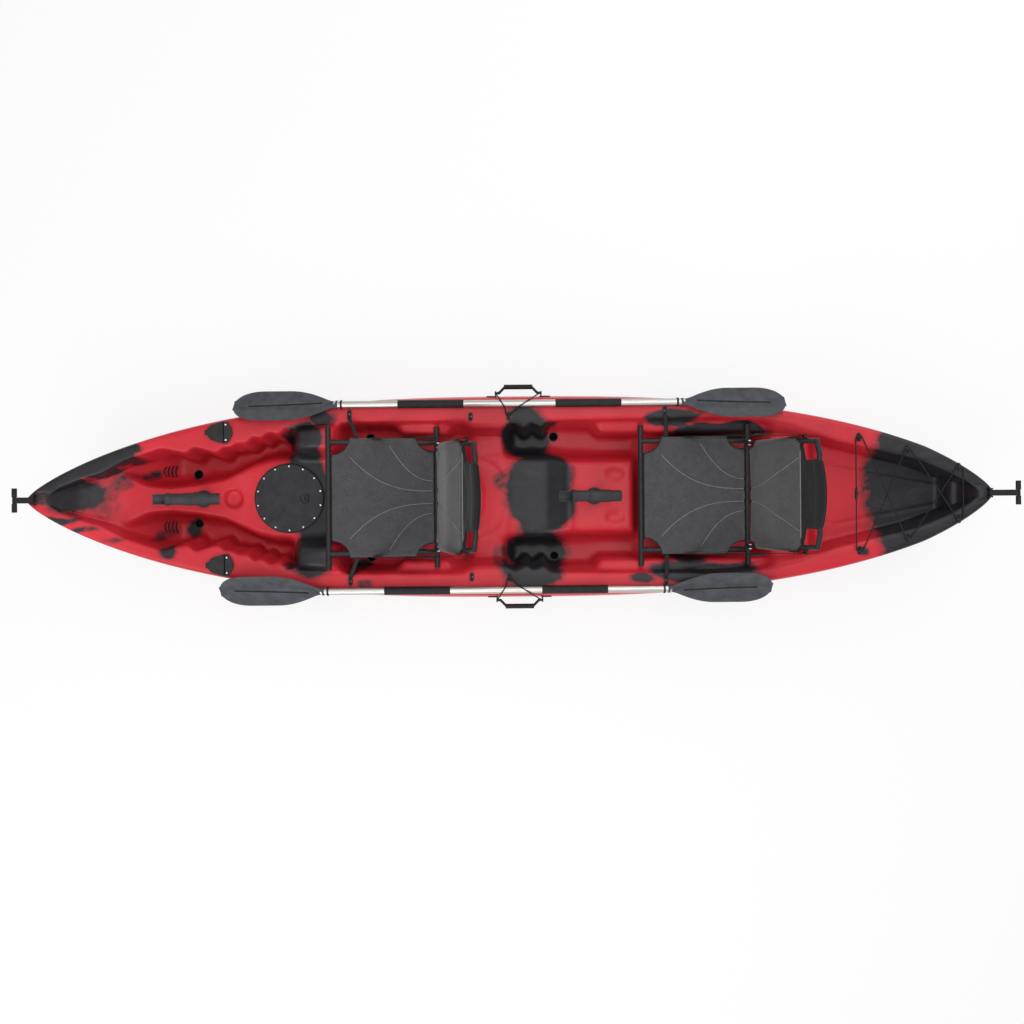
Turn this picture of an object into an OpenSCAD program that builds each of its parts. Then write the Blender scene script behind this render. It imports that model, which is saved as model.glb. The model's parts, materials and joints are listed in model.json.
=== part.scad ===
// Two-seat sit-on-top kayak with folding seats, paddles and fishing fittings.
// Bow at -X, starboard at +Y, Z up, z = 0 under the flat bottom panels. Millimetres.

/* [Hull] */
// Length of the moulding, bow to stern
hull_length = 3900; // [3600:10:4300]
// Width over the knuckles amidships
beam = 850; // [800:5:920]
// Height of the gunwale amidships
depth = 320; // [300:5:350]
// Extra height of the gunwale at the bow
bow_rise = 125; // [90:5:160]
// Extra height of the gunwale at the stern
stern_rise = 80; // [50:5:110]
// Thickness of the moulded skin
wall = 5; // [4:0.5:6]
// Half width of the blunt bow and stern ends
end_half = 14; // [12:1:20]
// How far the top of the stern leans forward
stern_rake = 50; // [20:5:70]

/* [Scuppers and sockets] */
// Radius of a scupper's bore
scupper_r = 17; // [14:0.5:20]
// Thickness of moulded tubes
tube_wall = 4; // [3:0.5:5]
// Radius of a moulded rod socket's bore
socket_r = 21; // [19:0.5:24]
// Depth of a moulded rod socket
socket_depth = 150; // [120:5:180]

/* [Hatch] */
// Distance of the hatch ahead of amidships
hatch_x = 955; // [945:5:965]
// Outer radius of the hatch ring
hatch_ring_r = 145; // [140:1:150]
// Radius of the hatch lid
hatch_lid_r = 121; // [115:1:124]
// Radius of the opening in the deck
hatch_hole_r = 112; // [106:1:113]
// Height of the hatch ring above the deck
hatch_ring_h = 9; // [8:0.5:12]
// Screws in the hatch ring
hatch_screws_n = 14; // [8:1:16]
// How far the lid can be drawn up before it is clear
lid_lift = 90; // [60:5:120]

/* [Rod holders] */
// Bore radius of an adjustable holder's tube
rod_bore_r = 19.5; // [18:0.5:22]
// Length of the tube
rod_tube_len = 255; // [230:5:280]
// Height of the tilt pivot above the deck
rod_pivot_h = 105; // [95:5:120]
// Radius of the foot
rod_foot_r = 36; // [32:1:42]
// Bore radius of a flush holder
flush_bore_r = 21; // [19:0.5:22]
// Depth of a flush holder
flush_depth = 170; // [140:5:190]

/* [Paddles] */
// Length of a paddle
paddle_len = 2250; // [2100:10:2300]
// Radius of the paddle shaft
shaft_r = 15; // [14:0.5:16]
// Length of a blade
blade_len = 430; // [400:5:460]
// Width of a blade
blade_w = 190; // [170:5:200]
// Tilt of the blades about the shaft, outer edge down
blade_tilt = 45; // [40:1:50]
// Distance of a stowed shaft from the centre line
paddle_y = 380; // [374:1:386]

/* [Seats] */
// Radius of the frame tubes
seat_tube_r = 11; // [9:0.5:12]
// Spread of the side rails from the centre line
seat_rail_y = 225; // [215:1:230]
// Reach of the cross tubes from the centre line
seat_cross_y = 290; // [284:1:294]
// Length of a seat base between cross tubes
seat_len = 440; // [420:5:455]
// Height of the back's top above its pivot
back_h = 413; // [380:5:440]
// Height of the back pivot above the base rails
back_pivot_h = 42; // [38:1:50]
// Thickness of the padded slings
pad_t = 24; // [20:1:28]
// Width of the webbing straps
strap_w = 38; // [25:1:50]

/* [Fittings] */
// Radius of the bungee cords
cord_r = 2.5; // [2:0.25:3.5]
// Radius of the grips on the handles
grip_r = 10; // [8:0.5:12]
// Distance between the ends of a side handle
side_handle_len = 220; // [180:5:260]

/* [Hidden] */

red = "#c02a36";
black = "#1c1c1f";
charcoal = "#4b4e56";
fabric = "#46464a";
silver = "#c9cacc";
steel = "#b8babd";

// Gap between pieces that only rest on each other
seat_gap = 0.3;
// Running gap of pins in their bores
run_gap = 0.05;
// Gap round a tube that passes through a moulded hole
fit_gap = 0.2;
// Gap along the seam between deck and hull
seam_gap = 0.1;
// Height of the deck's edge at the blunt ends
end_crown = 3;
fine = 48;

// Height of the keel along the boat as it is drawn. The layout stretches from the drawn size to
// the sizes above.
keel_line = [[-1950, 385], [-1930, 345], [-1876, 257], [-1772, 165], [-1647, 90], [-1522, 40],
  [-1356, 8], [-1300, 0], [1150, 0], [1348, 28], [1556, 70], [1722, 124], [1847, 182], [1950, 257]];
drawn_end = keel_line[len(keel_line) - 1][0];
// Half section of the bottom, from the keel out to the gunwale, as it is amidships, under the bow,
// under the stern, and at the very ends
mid_y = [0, 26, 40, 104, 112, 131, 140, 214, 228, 276, 296, 364, 425, 415, 410, 406];
mid_z = [11, 10, 0, 0, 12, 12, 0, 0, 30, 30, 20, 74, 184, 245, 290, 306];
bow_y = [0, 30, 60, 110, 130, 160, 190, 230, 250, 276, 300, 364, 425, 415, 410, 406];
bow_z = [0, 14, 30, 50, 54, 55, 50, 42, 40, 40, 46, 90, 184, 245, 290, 306];
aft_y = [0, 50, 95, 140, 168, 190, 205, 230, 248, 280, 300, 364, 425, 415, 410, 406];
aft_z = [0, 0, 3, 14, 34, 38, 30, 14, 30, 32, 24, 74, 184, 245, 290, 306];
end_z = [0, 8, 16, 26, 32, 38, 46, 54, 62, 70, 78, 104, 184, 245, 290, 306];
lines_n = len(mid_y);
// The deck's rim lies this far above the seam's line in the section
rim_above_seam = 14;
drawn_half_beam = max(mid_y);
drawn_depth = mid_z[lines_n - 1] + rim_above_seam;
half_length = hull_length / 2;
half_beam = beam / 2;
kx = half_length / drawn_end;
ky = half_beam / drawn_half_beam;
kz = depth / drawn_depth;

// Outline of the moulding
function taper(x) = pow(1 - pow(min(abs(x) / drawn_end, 1), 2.8), 0.8);
function half_width(x) = end_half + (half_beam - end_half) * taper(x);
function sheer(x) = depth + (x < 0 ? bow_rise * pow(-x / 1930, 3.4) : stern_rise * pow(x / 1900, 3.2));
function keel(x) = kz * lookup(x, keel_line);

function clamp01(v) = max(0, min(1, v));
function bow_part(x) = clamp01((-1060 - x) / 440);
function aft_part(x) = clamp01((x - 190) / 760);
function end_part(x) = clamp01((abs(x) - 1740) / 180);
function mix(a, b, t) = a + (b - a) * t;
function section_y(x, j) =
  half_width(x) / drawn_half_beam * mix(mix(mid_y[j], bow_y[j], bow_part(x)), aft_y[j], aft_part(x));
function section_h(x, j) =
  mix(mix(mix(mid_z[j], bow_z[j], bow_part(x)), aft_z[j], aft_part(x)), end_z[j], end_part(x));
function section_z(x, j) = keel(x) + (sheer(x) - keel(x)) * section_h(x, j) / drawn_depth;
function rake(x, z) =
  -stern_rake * clamp01((x - 1650) / 300) * clamp01((z - keel(x)) / (sheer(x) - keel(x)));
function hull_z(x, y) = lookup(y, [for (j = [0:12]) [section_y(x, j), section_z(x, j)]]);

hull_stations = [-1950, -1920, -1885, -1850, -1800, -1740, -1680, -1620, -1540, -1450, -1345, -1225,
  -1090, -930, -790, -600, -390, -190, -35, 150, 330, 530, 800, 985, 1120, 1235, 1400, 1500, 1600,
  1700, 1765, 1830, 1885, 1920, 1950];

// The seam where deck and hull meet runs straight between hull stations
function seam_exact(x) =
  let (z = section_z(x, lines_n - 1))
  [kx * x + rake(x, z), section_y(x, lines_n - 1), z];
function span_of(x, i = 0) = x <= hull_stations[i + 1] ? i : span_of(x, i + 1);
function seam(x) =
  let (i = span_of(x), a = hull_stations[i], b = hull_stations[i + 1])
  mix(seam_exact(a), seam_exact(b), (x - a) / (b - a));

function hull_half(x) = [for (j = [0:lines_n - 1])
  j == lines_n - 1 ? seam_exact(x)
  : let (z = section_z(x, j)) [kx * x + rake(x, z), section_y(x, j), z]];
// The skin's inner face: drawn in at the sides and lifted at the bottom
function hull_half_inside(x) =
  let (out = hull_half(x), top = out[lines_n - 1], k = keel(x), side = half_width(x),
    step = x == hull_stations[0] ? wall : x == hull_stations[len(hull_stations) - 1] ? -wall : 0)
  [for (p = out)
    let (low = clamp01((top[2] - p[2]) / (top[2] - k)))
    [p[0] + step, p[1] * (1 - wall / side) - (p == top ? wall * (1 - p[1] / side) : 0), p[2] + wall * low]];
function mirrored(half) =
  concat([for (j = [len(half) - 1:-1:1]) [half[j][0], -half[j][1], half[j][2]]], half);

// Layout of the deck: half widths and heights of its feature lines along the boat
centre_line = [[-1885, 434], [-1850, 395], [-1800, 345], [-1740, 312], [-1680, 293], [-1620, 280],
  [-1500, 266], [-1200, 254], [-1130, 250], [-790, 250], [-745, 150], [-712, 140], [-230, 140],
  [-190, 222], [-60, 222], [-35, 215], [45, 204], [115, 204], [185, 226], [212, 238], [230, 228],
  [480, 225], [500, 150], [530, 135], [985, 135], [1040, 285], [1195, 300], [1235, 205],
  [1765, 215], [1790, 285], [1830, 292], [1850, 350], [1885, 396]];
console_line = [[-1885, 5], [-1850, 25], [-1800, 42], [-1740, 60], [-1680, 78], [-1620, 92],
  [-1540, 56], [-1450, 48], [-1345, 58], [-1225, 82], [-1090, 150], [-1020, 168], [-790, 168],
  [-745, 150], [-190, 150], [-60, 165], [150, 165], [212, 150], [530, 150], [1195, 140],
  [1235, 120], [1765, 34], [1850, 22], [1885, 6]];
floor_line = [[-1885, 434], [-1850, 402], [-1800, 356], [-1740, 324], [-1680, 304], [-1620, 266],
  [-1590, 235], [-1450, 100], [-985, 95], [-960, 120], [-930, 262], [-895, 370], [-850, 384],
  [-790, 384], [-745, 373.5], [-712, 150], [-690, 140], [-230, 140], [-190, 214], [-60, 214], [-35, 112],
  [-25, 100], [480, 100], [530, 132], [985, 135], [1040, 282], [1195, 297], [1235, 205],
  [1765, 215], [1790, 285], [1830, 292], [1850, 350], [1885, 397]];
floor_edge = [[-1885, 7], [-1850, 36], [-1800, 56], [-1740, 78], [-1680, 97], [-1620, 128],
  [-1590, 146], [-1450, 190], [-1300, 198], [-1225, 202], [-1180, 206], [-1150, 230],
  [-985, 262], [-930, 268], [-745, 282],
  [-520, 286], [-480, 254], [-300, 254], [-260, 270], [-190, 255], [-60, 255], [-25, 286],
  [300, 286], [330, 254], [1000, 254], [1120, 245], [1195, 228], [1300, 196], [1400, 172],
  [1600, 124], [1765, 62], [1850, 30], [1885, 8]];
gunwale_edge = [[-1885, 10], [-1850, 46], [-1800, 68], [-1740, 90], [-1680, 108], [-1590, 160],
  [-1450, 208], [-1300, 216], [-1225, 214], [-1180, 216], [-1150, 246],
  [-985, 284], [-895, 298], [-690, 312],
  [-230, 314], [-190, 292], [-60, 288], [-25, 306], [210, 314], [800, 318], [985, 306],
  [1120, 280], [1195, 254], [1300, 218], [1400, 194], [1600, 144], [1765, 82], [1850, 42], [1885, 14]];
ledge_part = [[-520, 0], [-480, 1], [-300, 1], [-260, 0], [300, 0], [330, 1], [1000, 1], [1040, 0]];
ledge_height = 284;
console_slope = 28;

// Foot braces: saw teeth along the footwells' outer walls
function saw(x, start, pitch, n) =
  let (t = (x - start) / pitch, f = t - floor(t))
  t < 0 || t >= n ? 0 : f < 0.875 ? f / 0.875 : (1 - f) / 0.125;
function zigzag(x, start, pitch, n) =
  let (t = (x - start) / pitch, f = t - floor(t))
  t < 0 || t >= n ? 0 : 1 - abs(2 * f - 1);
function brace(x) = 45 * saw(x, -1450, 120, 3) + 34 * zigzag(x, -1090, 70, 2) + 48 * saw(x, -25, 70, 2);

deck_stations = [-1950, -1920, -1885, -1850, -1800, -1740, -1680, -1620, -1590, -1540, -1495, -1450,
  -1345, -1330, -1225, -1210, -1105, -1090, -1055, -1020, -985, -960, -930, -895, -850, -790, -745,
  -712, -690, -600, -520, -480, -390, -300, -260, -230, -190, -120, -60, -35, -25, 36.25, 45,
  106.25, 115, 150, 185, 212, 230, 300, 330, 400, 480, 500, 530, 650, 800, 900, 985, 1000, 1040,
  1120, 1195, 1235, 1300, 1400, 1500, 1600, 1700, 1765, 1790, 1830, 1850, 1885, 1920, 1950];

// The deck closes flush over the blunt ends, and its rim there is taken a little way in
flush_from = drawn_end - 65;
rim_from = drawn_end - 30;
function is_end(x) = abs(x) == drawn_end;
function lip(x) = 4 * kz * clamp01((drawn_end - abs(x)) / 30);
// Half section of the deck, from the centre line out to the seam
function deck_half(x) =
  let (s = seam(x), top = is_end(x) ? s[2] + seam_gap + end_crown : sheer(x),
    g = ky * lookup(x, gunwale_edge),
    bite = ky * brace(x), o = ky * lookup(x, floor_edge) - bite, e = g - 0.6 * bite,
    p = ky * lookup(x, console_line), flush = abs(x) > flush_from,
    zc = flush ? top : min(top, kz * lookup(x, centre_line)),
    zf = flush ? top : kz * lookup(x, floor_line),
    zg = top - lip(x), q = lookup(x, ledge_part),
    ya = mix(mix(o, e, 0.3), o + 5, q), za = mix(mix(zf, zg, 0.5), kz * (ledge_height - 4), q),
    yb = mix(mix(o, e, 0.7), e - 10, q), zb = mix(mix(zf, zg, 0.9), kz * ledge_height, q),
    small = flush ? s[1] / 20 : 0)
  [for (v = [[0, zc], [flush ? small : p, zc], [flush ? 2 * small : min(p + console_slope * ky, o - 2), zf],
      [flush ? 4 * small : o, zf], [flush ? 6 * small : ya, flush ? top : za],
      [flush ? 8 * small : yb, flush ? top : zb], [flush ? 10 * small : e, zg],
      [flush ? 13 * small : e + 12, top], [flush ? 17 * small : s[1] - 10, top - lip(x) / 4]])
    [kx * x + rake(x, v[1]), v[0], v[1]]];
deck_in_y = [0, -0.8, -0.8, 0.8, 0.8, 0.8, 0.8, 0.3, -0.6];
function deck_row(i) = concat(deck_half(deck_stations[i]), [seam(deck_stations[i]) + [0, 0, seam_gap]]);
function pitch_of(a, b) = atan2(b[2] - a[2], b[0] - a[0]);
deck_rows = [for (i = [0:len(deck_stations) - 1]) deck_row(i)];
last = len(deck_stations) - 1;
function deck_row_inside(i) =
  let (row = deck_rows[i], s = row[len(row) - 1])
  i == 0 || i == last ? [for (p = row) [p[0] + (i == 0 ? wall : -wall), p[1] * (1 - wall / s[1]), p[2]]]
  : [for (j = [0:len(row) - 1])
      let (p = row[j], a = pitch_of(deck_rows[i - 1][j], deck_rows[i + 1][j]))
      j == len(row) - 1 ? [p[0], p[1] - wall, p[2]]
      : [p[0] + wall * sin(a), max(0, p[1] + wall * deck_in_y[j]), p[2] - wall * cos(a)]];

// Deck height at a point, for the pieces that sit on it
function deck_z(x, y) = lookup(abs(y), [for (p = deck_half(x)) [p[1], p[2]]]);
function slope(x) = atan2(sheer(x + 5) - sheer(x - 5), 10 * kx);

// A closed sheet between two grids of points with as many rows and columns
module sheet(top, under) {
  n = len(top);
  m = len(top[0]);
  o = n * m;
  points = concat([for (r = top) for (p = r) p], [for (r = under) for (p = r) p]);
  faces = concat(
    [for (i = [0:n - 2]) for (j = [0:m - 2]) each
      [[i * m + j, i * m + j + 1, i * m + m + j + 1], [i * m + j, i * m + m + j + 1, i * m + m + j]]],
    [for (i = [0:n - 2]) for (j = [0:m - 2]) each
      [[o + i * m + j, o + i * m + m + j + 1, o + i * m + j + 1],
       [o + i * m + j, o + i * m + m + j, o + i * m + m + j + 1]]],
    [for (i = [0:n - 2]) each
      [[i * m, i * m + m, o + i * m + m], [i * m, o + i * m + m, o + i * m]]],
    [for (i = [0:n - 2]) let (a = i * m + m - 1, b = a + m) each [[a, o + b, b], [a, o + a, o + b]]],
    [for (j = [0:m - 2]) each [[j, o + j + 1, j + 1], [j, o + j, o + j + 1]]],
    [for (j = [0:m - 2]) let (a = (n - 1) * m + j) each [[a, a + 1, o + a + 1], [a, o + a + 1, o + a]]]);
  polyhedron(points, faces);
}

// An open tub between two grids, with end walls
module tub(outside, inside) {
  n = len(outside);
  m = len(outside[0]);
  o = n * m;
  points = concat([for (r = outside) for (p = r) p], [for (r = inside) for (p = r) p]);
  function cap(base, flip) = [for (j = [0:m / 2 - 1])
    let (a = base + j, b = base + j + 1, c = base + m - 2 - j, d = base + m - 1 - j)
    each (b == c ? [flip ? [a, b, d] : [a, d, b]]
      : flip ? [[a, b, c], [a, c, d]] : [[a, c, b], [a, d, c]])];
  z = (n - 1) * m;
  faces = concat(
    [for (i = [0:n - 2]) for (j = [0:m - 2]) each
      [[i * m + j, i * m + m + j + 1, i * m + j + 1], [i * m + j, i * m + m + j, i * m + m + j + 1]]],
    [for (i = [0:n - 2]) for (j = [0:m - 2]) each
      [[o + i * m + j, o + i * m + j + 1, o + i * m + m + j + 1],
       [o + i * m + j, o + i * m + m + j + 1, o + i * m + m + j]]],
    [for (i = [0:n - 2]) each
      [[i * m, o + i * m + m, i * m + m], [i * m, o + i * m, o + i * m + m]]],
    [for (i = [0:n - 2]) let (a = i * m + m - 1, b = a + m) each [[a, b, o + b], [a, o + b, o + a]]],
    cap(0, true), cap(o, false), cap(z, false), cap(o + z, true),
    [[0, o + m - 1, o], [0, m - 1, o + m - 1], [z, o + z, o + z + m - 1], [z, o + z + m - 1, z + m - 1]]);
  polyhedron(points, faces);
}

// A round bar between two points
module bar(a, b, r) {
  d = b - a;
  translate(a)
    rotate([0, atan2(norm([d[0], d[1]]), d[2]), atan2(d[1], d[0])])
      cylinder(h = norm(d), r = r, $fn = fine);
}

// A bent tube: bars joined by balls that swell a little at the bends
bend_swell = 0.25;
module bent(points, r) {
  for (i = [0:len(points) - 2])
    bar(points[i], points[i + 1], r);
  if (len(points) > 2)
    for (i = [1:len(points) - 2])
      translate(points[i]) sphere(r = r + bend_swell, $fn = fine);
}

function unit(v) = v / norm(v);
// A cord swept along points, closed at both ends
module cord(points, r, sides = 8) {
  n = len(points);
  function along(i) = unit(points[min(i + 1, n - 1)] - points[max(i - 1, 0)]);
  function across(i) = let (t = along(i)) unit(cross(t, abs(t[2]) > 0.9 ? [1, 0, 0] : [0, 0, 1]));
  rings = [for (i = [0:n - 1]) let (u = across(i), v = cross(along(i), u)) for (k = [0:sides - 1])
    points[i] + r * (u * cos(360 * k / sides) + v * sin(360 * k / sides))];
  faces = concat(
    [for (i = [0:n - 2]) for (k = [0:sides - 1])
      let (a = i * sides + k, b = i * sides + (k + 1) % sides) each
      [[a, b, b + sides], [a, b + sides, a + sides]]],
    [[for (k = [sides - 1:-1:0]) k]], [[for (k = [0:sides - 1]) (n - 1) * sides + k]]);
  polyhedron(rings, faces);
}

// A flat strap through points, with one direction across it for its whole length
module strap(points, side, w, t) {
  n = len(points);
  function along(i) = unit(points[min(i + 1, n - 1)] - points[max(i - 1, 0)]);
  function up(i) = unit(cross(along(i), side));
  function face(i, f) = [points[i] - side * w / 2 + f * up(i), points[i] + side * w / 2 + f * up(i)];
  sheet([for (i = [0:n - 1]) face(i, t / 2)], [for (i = [0:n - 1]) face(i, -t / 2)]);
}

module both() {
  children();
  mirror([0, 1, 0]) children();
}

// Scuppers, as drawn distances along and across
scuppers = [[-1380, 105], [-631, 253], [150, 256], [895, 161]];
function scupper_at(s) = [kx * s[0], ky * s[1]];
module at_scuppers() {
  for (s = scuppers)
    both() translate([kx * s[0], ky * s[1], 0]) children();
}
// Moulded rod sockets behind the rear seat, leaning aft
socket_x = 1155;
socket_y = 222;
socket_lean = 25;
module at_sockets() {
  both()
    translate([kx * socket_x, ky * socket_y, deck_z(socket_x, ky * socket_y)])
      rotate([0, socket_lean, 0]) children();
}
// Flush rod holders beside the front footwells
flush_x = -1234;
flush_y = 270;
flush_lean = -20;
flush_plate_t = 5;
module at_flush() {
  translate([kx * flush_x, ky * flush_y, sheer(flush_x) + 0.6]) rotate([0, -slope(flush_x), 0]) children();
}

module hull_shell() {
  color(red)
    difference() {
      tub([for (x = hull_stations) mirrored(hull_half(x))],
        [for (x = hull_stations) mirrored(hull_half_inside(x))]);
      at_scuppers() translate([0, 0, -1])
        cylinder(h = 90 * kz, r = scupper_r + tube_wall + fit_gap, $fn = fine);
    }
}

// Cup in the front console, and two shallow ovals ahead of the rear seat
cup_x = -1190;
cup_r = 36;
cup_depth = 28;
oval_x = 403;
oval_y = 91;
oval_half = [37, 22];
oval_depth = 3;
module at_cup() {
  translate([kx * cup_x, 0, deck_z(cup_x, 0)]) children();
}
module deck_shell() {
  color(red) {
    difference() {
      moulded_deck();
      at_cup() translate([0, 0, -cup_depth]) cylinder(h = 2 * cup_depth, r = cup_r + wall / 2, $fn = fine);
    }
    at_cup() translate([0, 0, -cup_depth - wall])
      difference() {
        cylinder(h = cup_depth + wall - 1, r = cup_r + wall, $fn = fine);
        translate([0, 0, wall]) cylinder(h = cup_depth + wall, r = cup_r, $fn = fine);
      }
  }
}
module moulded_deck() {
  difference() {
    sheet([for (r = deck_rows) mirrored(r)], [for (i = [0:last]) mirrored(deck_row_inside(i))]);
    both() translate([kx * oval_x, ky * oval_y, deck_z(oval_x, ky * oval_y) - oval_depth])
      scale_oval(oval_half[0], oval_half[1], 20);
    at_scuppers() translate([0, 0, 85 * kz])
      cylinder(h = 90 * kz, r = scupper_r + tube_wall + fit_gap, $fn = fine);
    translate([-hatch_x * kx, 0, deck_z(-hatch_x, 0) - 20]) cylinder(h = 40, r = hatch_hole_r, $fn = 96);
    at_sockets() translate([0, 0, -40])
      cylinder(h = 80, r = socket_r + tube_wall + fit_gap, $fn = fine);
    both() at_flush() flush_tube(-30, 60, flush_bore_r + tube_wall + fit_gap);
  }
}

module scupper_tubes() {
  color(black)
    for (s = scuppers)
      both() {
        low = hull_z(s[0], ky * s[1]) + 3;
        high = deck_z(s[0], ky * s[1]) - 0.5;
        translate([kx * s[0], ky * s[1], low])
          difference() {
            cylinder(h = high - low, r = scupper_r + tube_wall, $fn = fine);
            translate([0, 0, -1]) cylinder(h = high - low + 2, r = scupper_r, $fn = fine);
          }
      }
}

module rod_sockets() {
  color(red)
    at_sockets()
      difference() {
        translate([0, 0, -socket_depth - tube_wall])
          cylinder(h = socket_depth + tube_wall, r = socket_r + tube_wall, $fn = fine);
        translate([0, 0, -socket_depth]) cylinder(h = socket_depth + 1, r = socket_r, $fn = fine);
      }
}

// Hatch: ring, seal, lid and pull
hatch_seat = 3;
gasket_t = 1.4;
lid_t = hatch_ring_h - hatch_seat - gasket_t - seat_gap;
collar_h = 25;
collar_wall = 3.5;
collar_r = hatch_hole_r - fit_gap;
hatch_z = deck_z(-hatch_x, 0) + seat_gap;
pull_x = 67;
pull_r = 14;
pull_wire = 2.2;
finger_r = 23;
finger_depth = 6.5;
lid_skirt_h = 14;
module at_hatch() {
  translate([-hatch_x * kx, 0, hatch_z]) children();
}
module hatch_ring() {
  color(black)
    at_hatch()
      difference() {
        rotate_extrude($fn = 96)
          polygon([[collar_r - collar_wall, -collar_h], [collar_r, -collar_h], [collar_r, 0],
            [hatch_ring_r, 0],
            [hatch_ring_r, hatch_ring_h - 4], [hatch_ring_r - 5, hatch_ring_h],
            [hatch_lid_r + seat_gap, hatch_ring_h], [hatch_lid_r + seat_gap, hatch_seat],
            [collar_r - collar_wall, hatch_seat]]);
        at_hatch_screws() translate([0, 0, -1])
          cylinder(h = hatch_ring_h + 2, r = screw_r + fit_gap, $fn = 24);
      }
}
module at_hatch_screws() {
  for (k = [0:hatch_screws_n - 1])
    rotate(360 / hatch_screws_n * (k + 0.5))
      translate([(hatch_ring_r + hatch_lid_r) / 2, 0, 0]) children();
}
module hatch_gasket() {
  color("#333336")
    at_hatch() translate([0, 0, hatch_seat])
      difference() {
        cylinder(h = gasket_t, r = hatch_lid_r - 1, $fn = 96);
        translate([0, 0, -1]) cylinder(h = gasket_t + 2, r = hatch_lid_r - 7, $fn = 96);
      }
}
module hatch_lid() {
  color(black)
    at_hatch() translate([0, 0, hatch_seat + gasket_t + seat_gap])
      difference() {
        union() {
          cylinder(h = lid_t, r = hatch_lid_r, $fn = 96);
          translate([0, 0, -lid_skirt_h])
            cylinder(h = lid_skirt_h + 1, r = collar_r - collar_wall - 0.6, $fn = 96);
        }
        translate([0, 0, -lid_skirt_h - 1])
          cylinder(h = lid_skirt_h - 3, r = collar_r - collar_wall - 4, $fn = 96);
        translate([pull_x, 0, lid_t - finger_depth])
          cylinder(h = finger_depth + 1, r = finger_r, $fn = fine);
        translate([pull_x + pull_r - 4, -finger_r - 4, lid_t - finger_depth / 2])
          rotate([-90, 0, 0]) cylinder(h = 2 * finger_r + 8, r = pull_wire + run_gap, $fn = 24);
      }
}
// Height of the pull's hinge above the deck
pull_z = hatch_seat + gasket_t + seat_gap + lid_t - finger_depth / 2;
module hatch_pull() {
  color("#2a2a2d")
    at_hatch() translate([pull_x + pull_r - 4, 0, pull_z]) {
      rotate([-90, 0, 0]) translate([0, 0, -finger_r - 1])
        cylinder(h = 2 * finger_r + 2, r = pull_wire, $fn = 24);
      rotate(90) rotate_extrude(angle = 180, $fn = fine) translate([pull_r, 0])
        circle(r = pull_wire, $fn = 24);
      translate([-pull_r, 0, 0]) sphere(r = pull_wire + 0.6, $fn = 24);
    }
}

// Adjustable rod holders
rod_foot_h = 12;
rod_neck_r = 17;
rod_lug_h = 44;
rod_cheek = 5;
rod_inner = 15;
rod_bolt_r = 4;
rod_wall = 3.5;
rod_aft = 90;
front_rod = [-1310, 19];
rear_rod = [316, 14];
function rod_base(rod) =
  max(deck_z(rod[0] - rod_foot_r / kx, 0), deck_z(rod[0] + rod_foot_r / kx, 0)) + seat_gap;
function rod_pivot(rod) = [kx * rod[0], 0, rod_base(rod) + rod_pivot_h];
module rod_foot(rod) {
  color(black)
    translate([kx * rod[0], 0, rod_base(rod)])
      difference() {
        union() {
          cylinder(h = 5, r = rod_foot_r, $fn = fine);
          cylinder(h = rod_foot_h, r1 = rod_foot_r - 5, r2 = rod_neck_r + 5, $fn = fine);
        }
        translate([0, 0, 4]) cylinder(h = rod_foot_h, r = rod_neck_r - 4 + run_gap, $fn = fine);
      }
}
module rod_yoke(rod) {
  base = rod_base(rod) + rod_foot_h + seat_gap;
  pivot = rod_pivot(rod);
  high = pivot[2] - base;
  color(black)
    translate([kx * rod[0], 0, base])
      difference() {
        union() {
          translate([0, 0, -rod_foot_h + 4 + seat_gap])
            cylinder(h = rod_foot_h, r = rod_neck_r - 4, $fn = fine);
          cylinder(h = high - rod_lug_h + 16, r1 = rod_neck_r + 5, r2 = rod_neck_r + 2, $fn = fine);
          for (s = [-1, 1])
            translate([0, s * (rod_inner + rod_cheek / 2) + rod_cheek / 2, 0])
              rotate([90, 0, 0]) linear_extrude(rod_cheek)
                polygon([[-rod_neck_r, high - rod_lug_h], [rod_neck_r, high - rod_lug_h],
                  [12, high + 6], [8, high + 11],
                  [-8, high + 11], [-12, high + 6]]);
        }
        translate([-40, -rod_inner, high - rod_lug_h + 26]) cube([80, 2 * rod_inner, 80]);
        translate([0, -60, high]) rotate([-90, 0, 0]) cylinder(h = 120, r = rod_bolt_r + run_gap, $fn = 24);
      }
}
module rod_tube(rod) {
  out_r = rod_bore_r + rod_wall;
  rise = out_r + 17;
  mouth = rod_aft - rod_tube_len;
  color(black)
    translate(rod_pivot(rod)) rotate([0, rod[1], 0])
      difference() {
        union() {
          translate([mouth, 0, rise]) rotate([0, 90, 0]) cylinder(h = rod_tube_len, r = out_r, $fn = fine);
          translate([mouth + 50, 0, rise]) rotate([0, 90, 0]) cylinder(h = 14, r = out_r + 3, $fn = fine);
          translate([-45, 0, rise]) rotate([0, 90, 0]) cylinder(h = 90, r = out_r + 2.5, $fn = fine);
          translate([0, rod_inner - 0.4, 0]) rotate([90, 0, 0]) linear_extrude(2 * rod_inner - 0.8)
            polygon([[-9, -6], [-5, -10], [5, -10], [9, -6], [32, rise], [-32, rise]]);
        }
        translate([mouth - 1, 0, rise]) rotate([0, 90, 0])
          cylinder(h = rod_tube_len - 5, r = rod_bore_r, $fn = fine);
        translate([mouth - 1, -out_r - 5, rise - 9]) cube([46, 2 * out_r + 10, 2 * out_r]);
        translate([0, -60, 0]) rotate([-90, 0, 0]) cylinder(h = 120, r = rod_bolt_r + run_gap, $fn = 24);
      }
}
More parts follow.
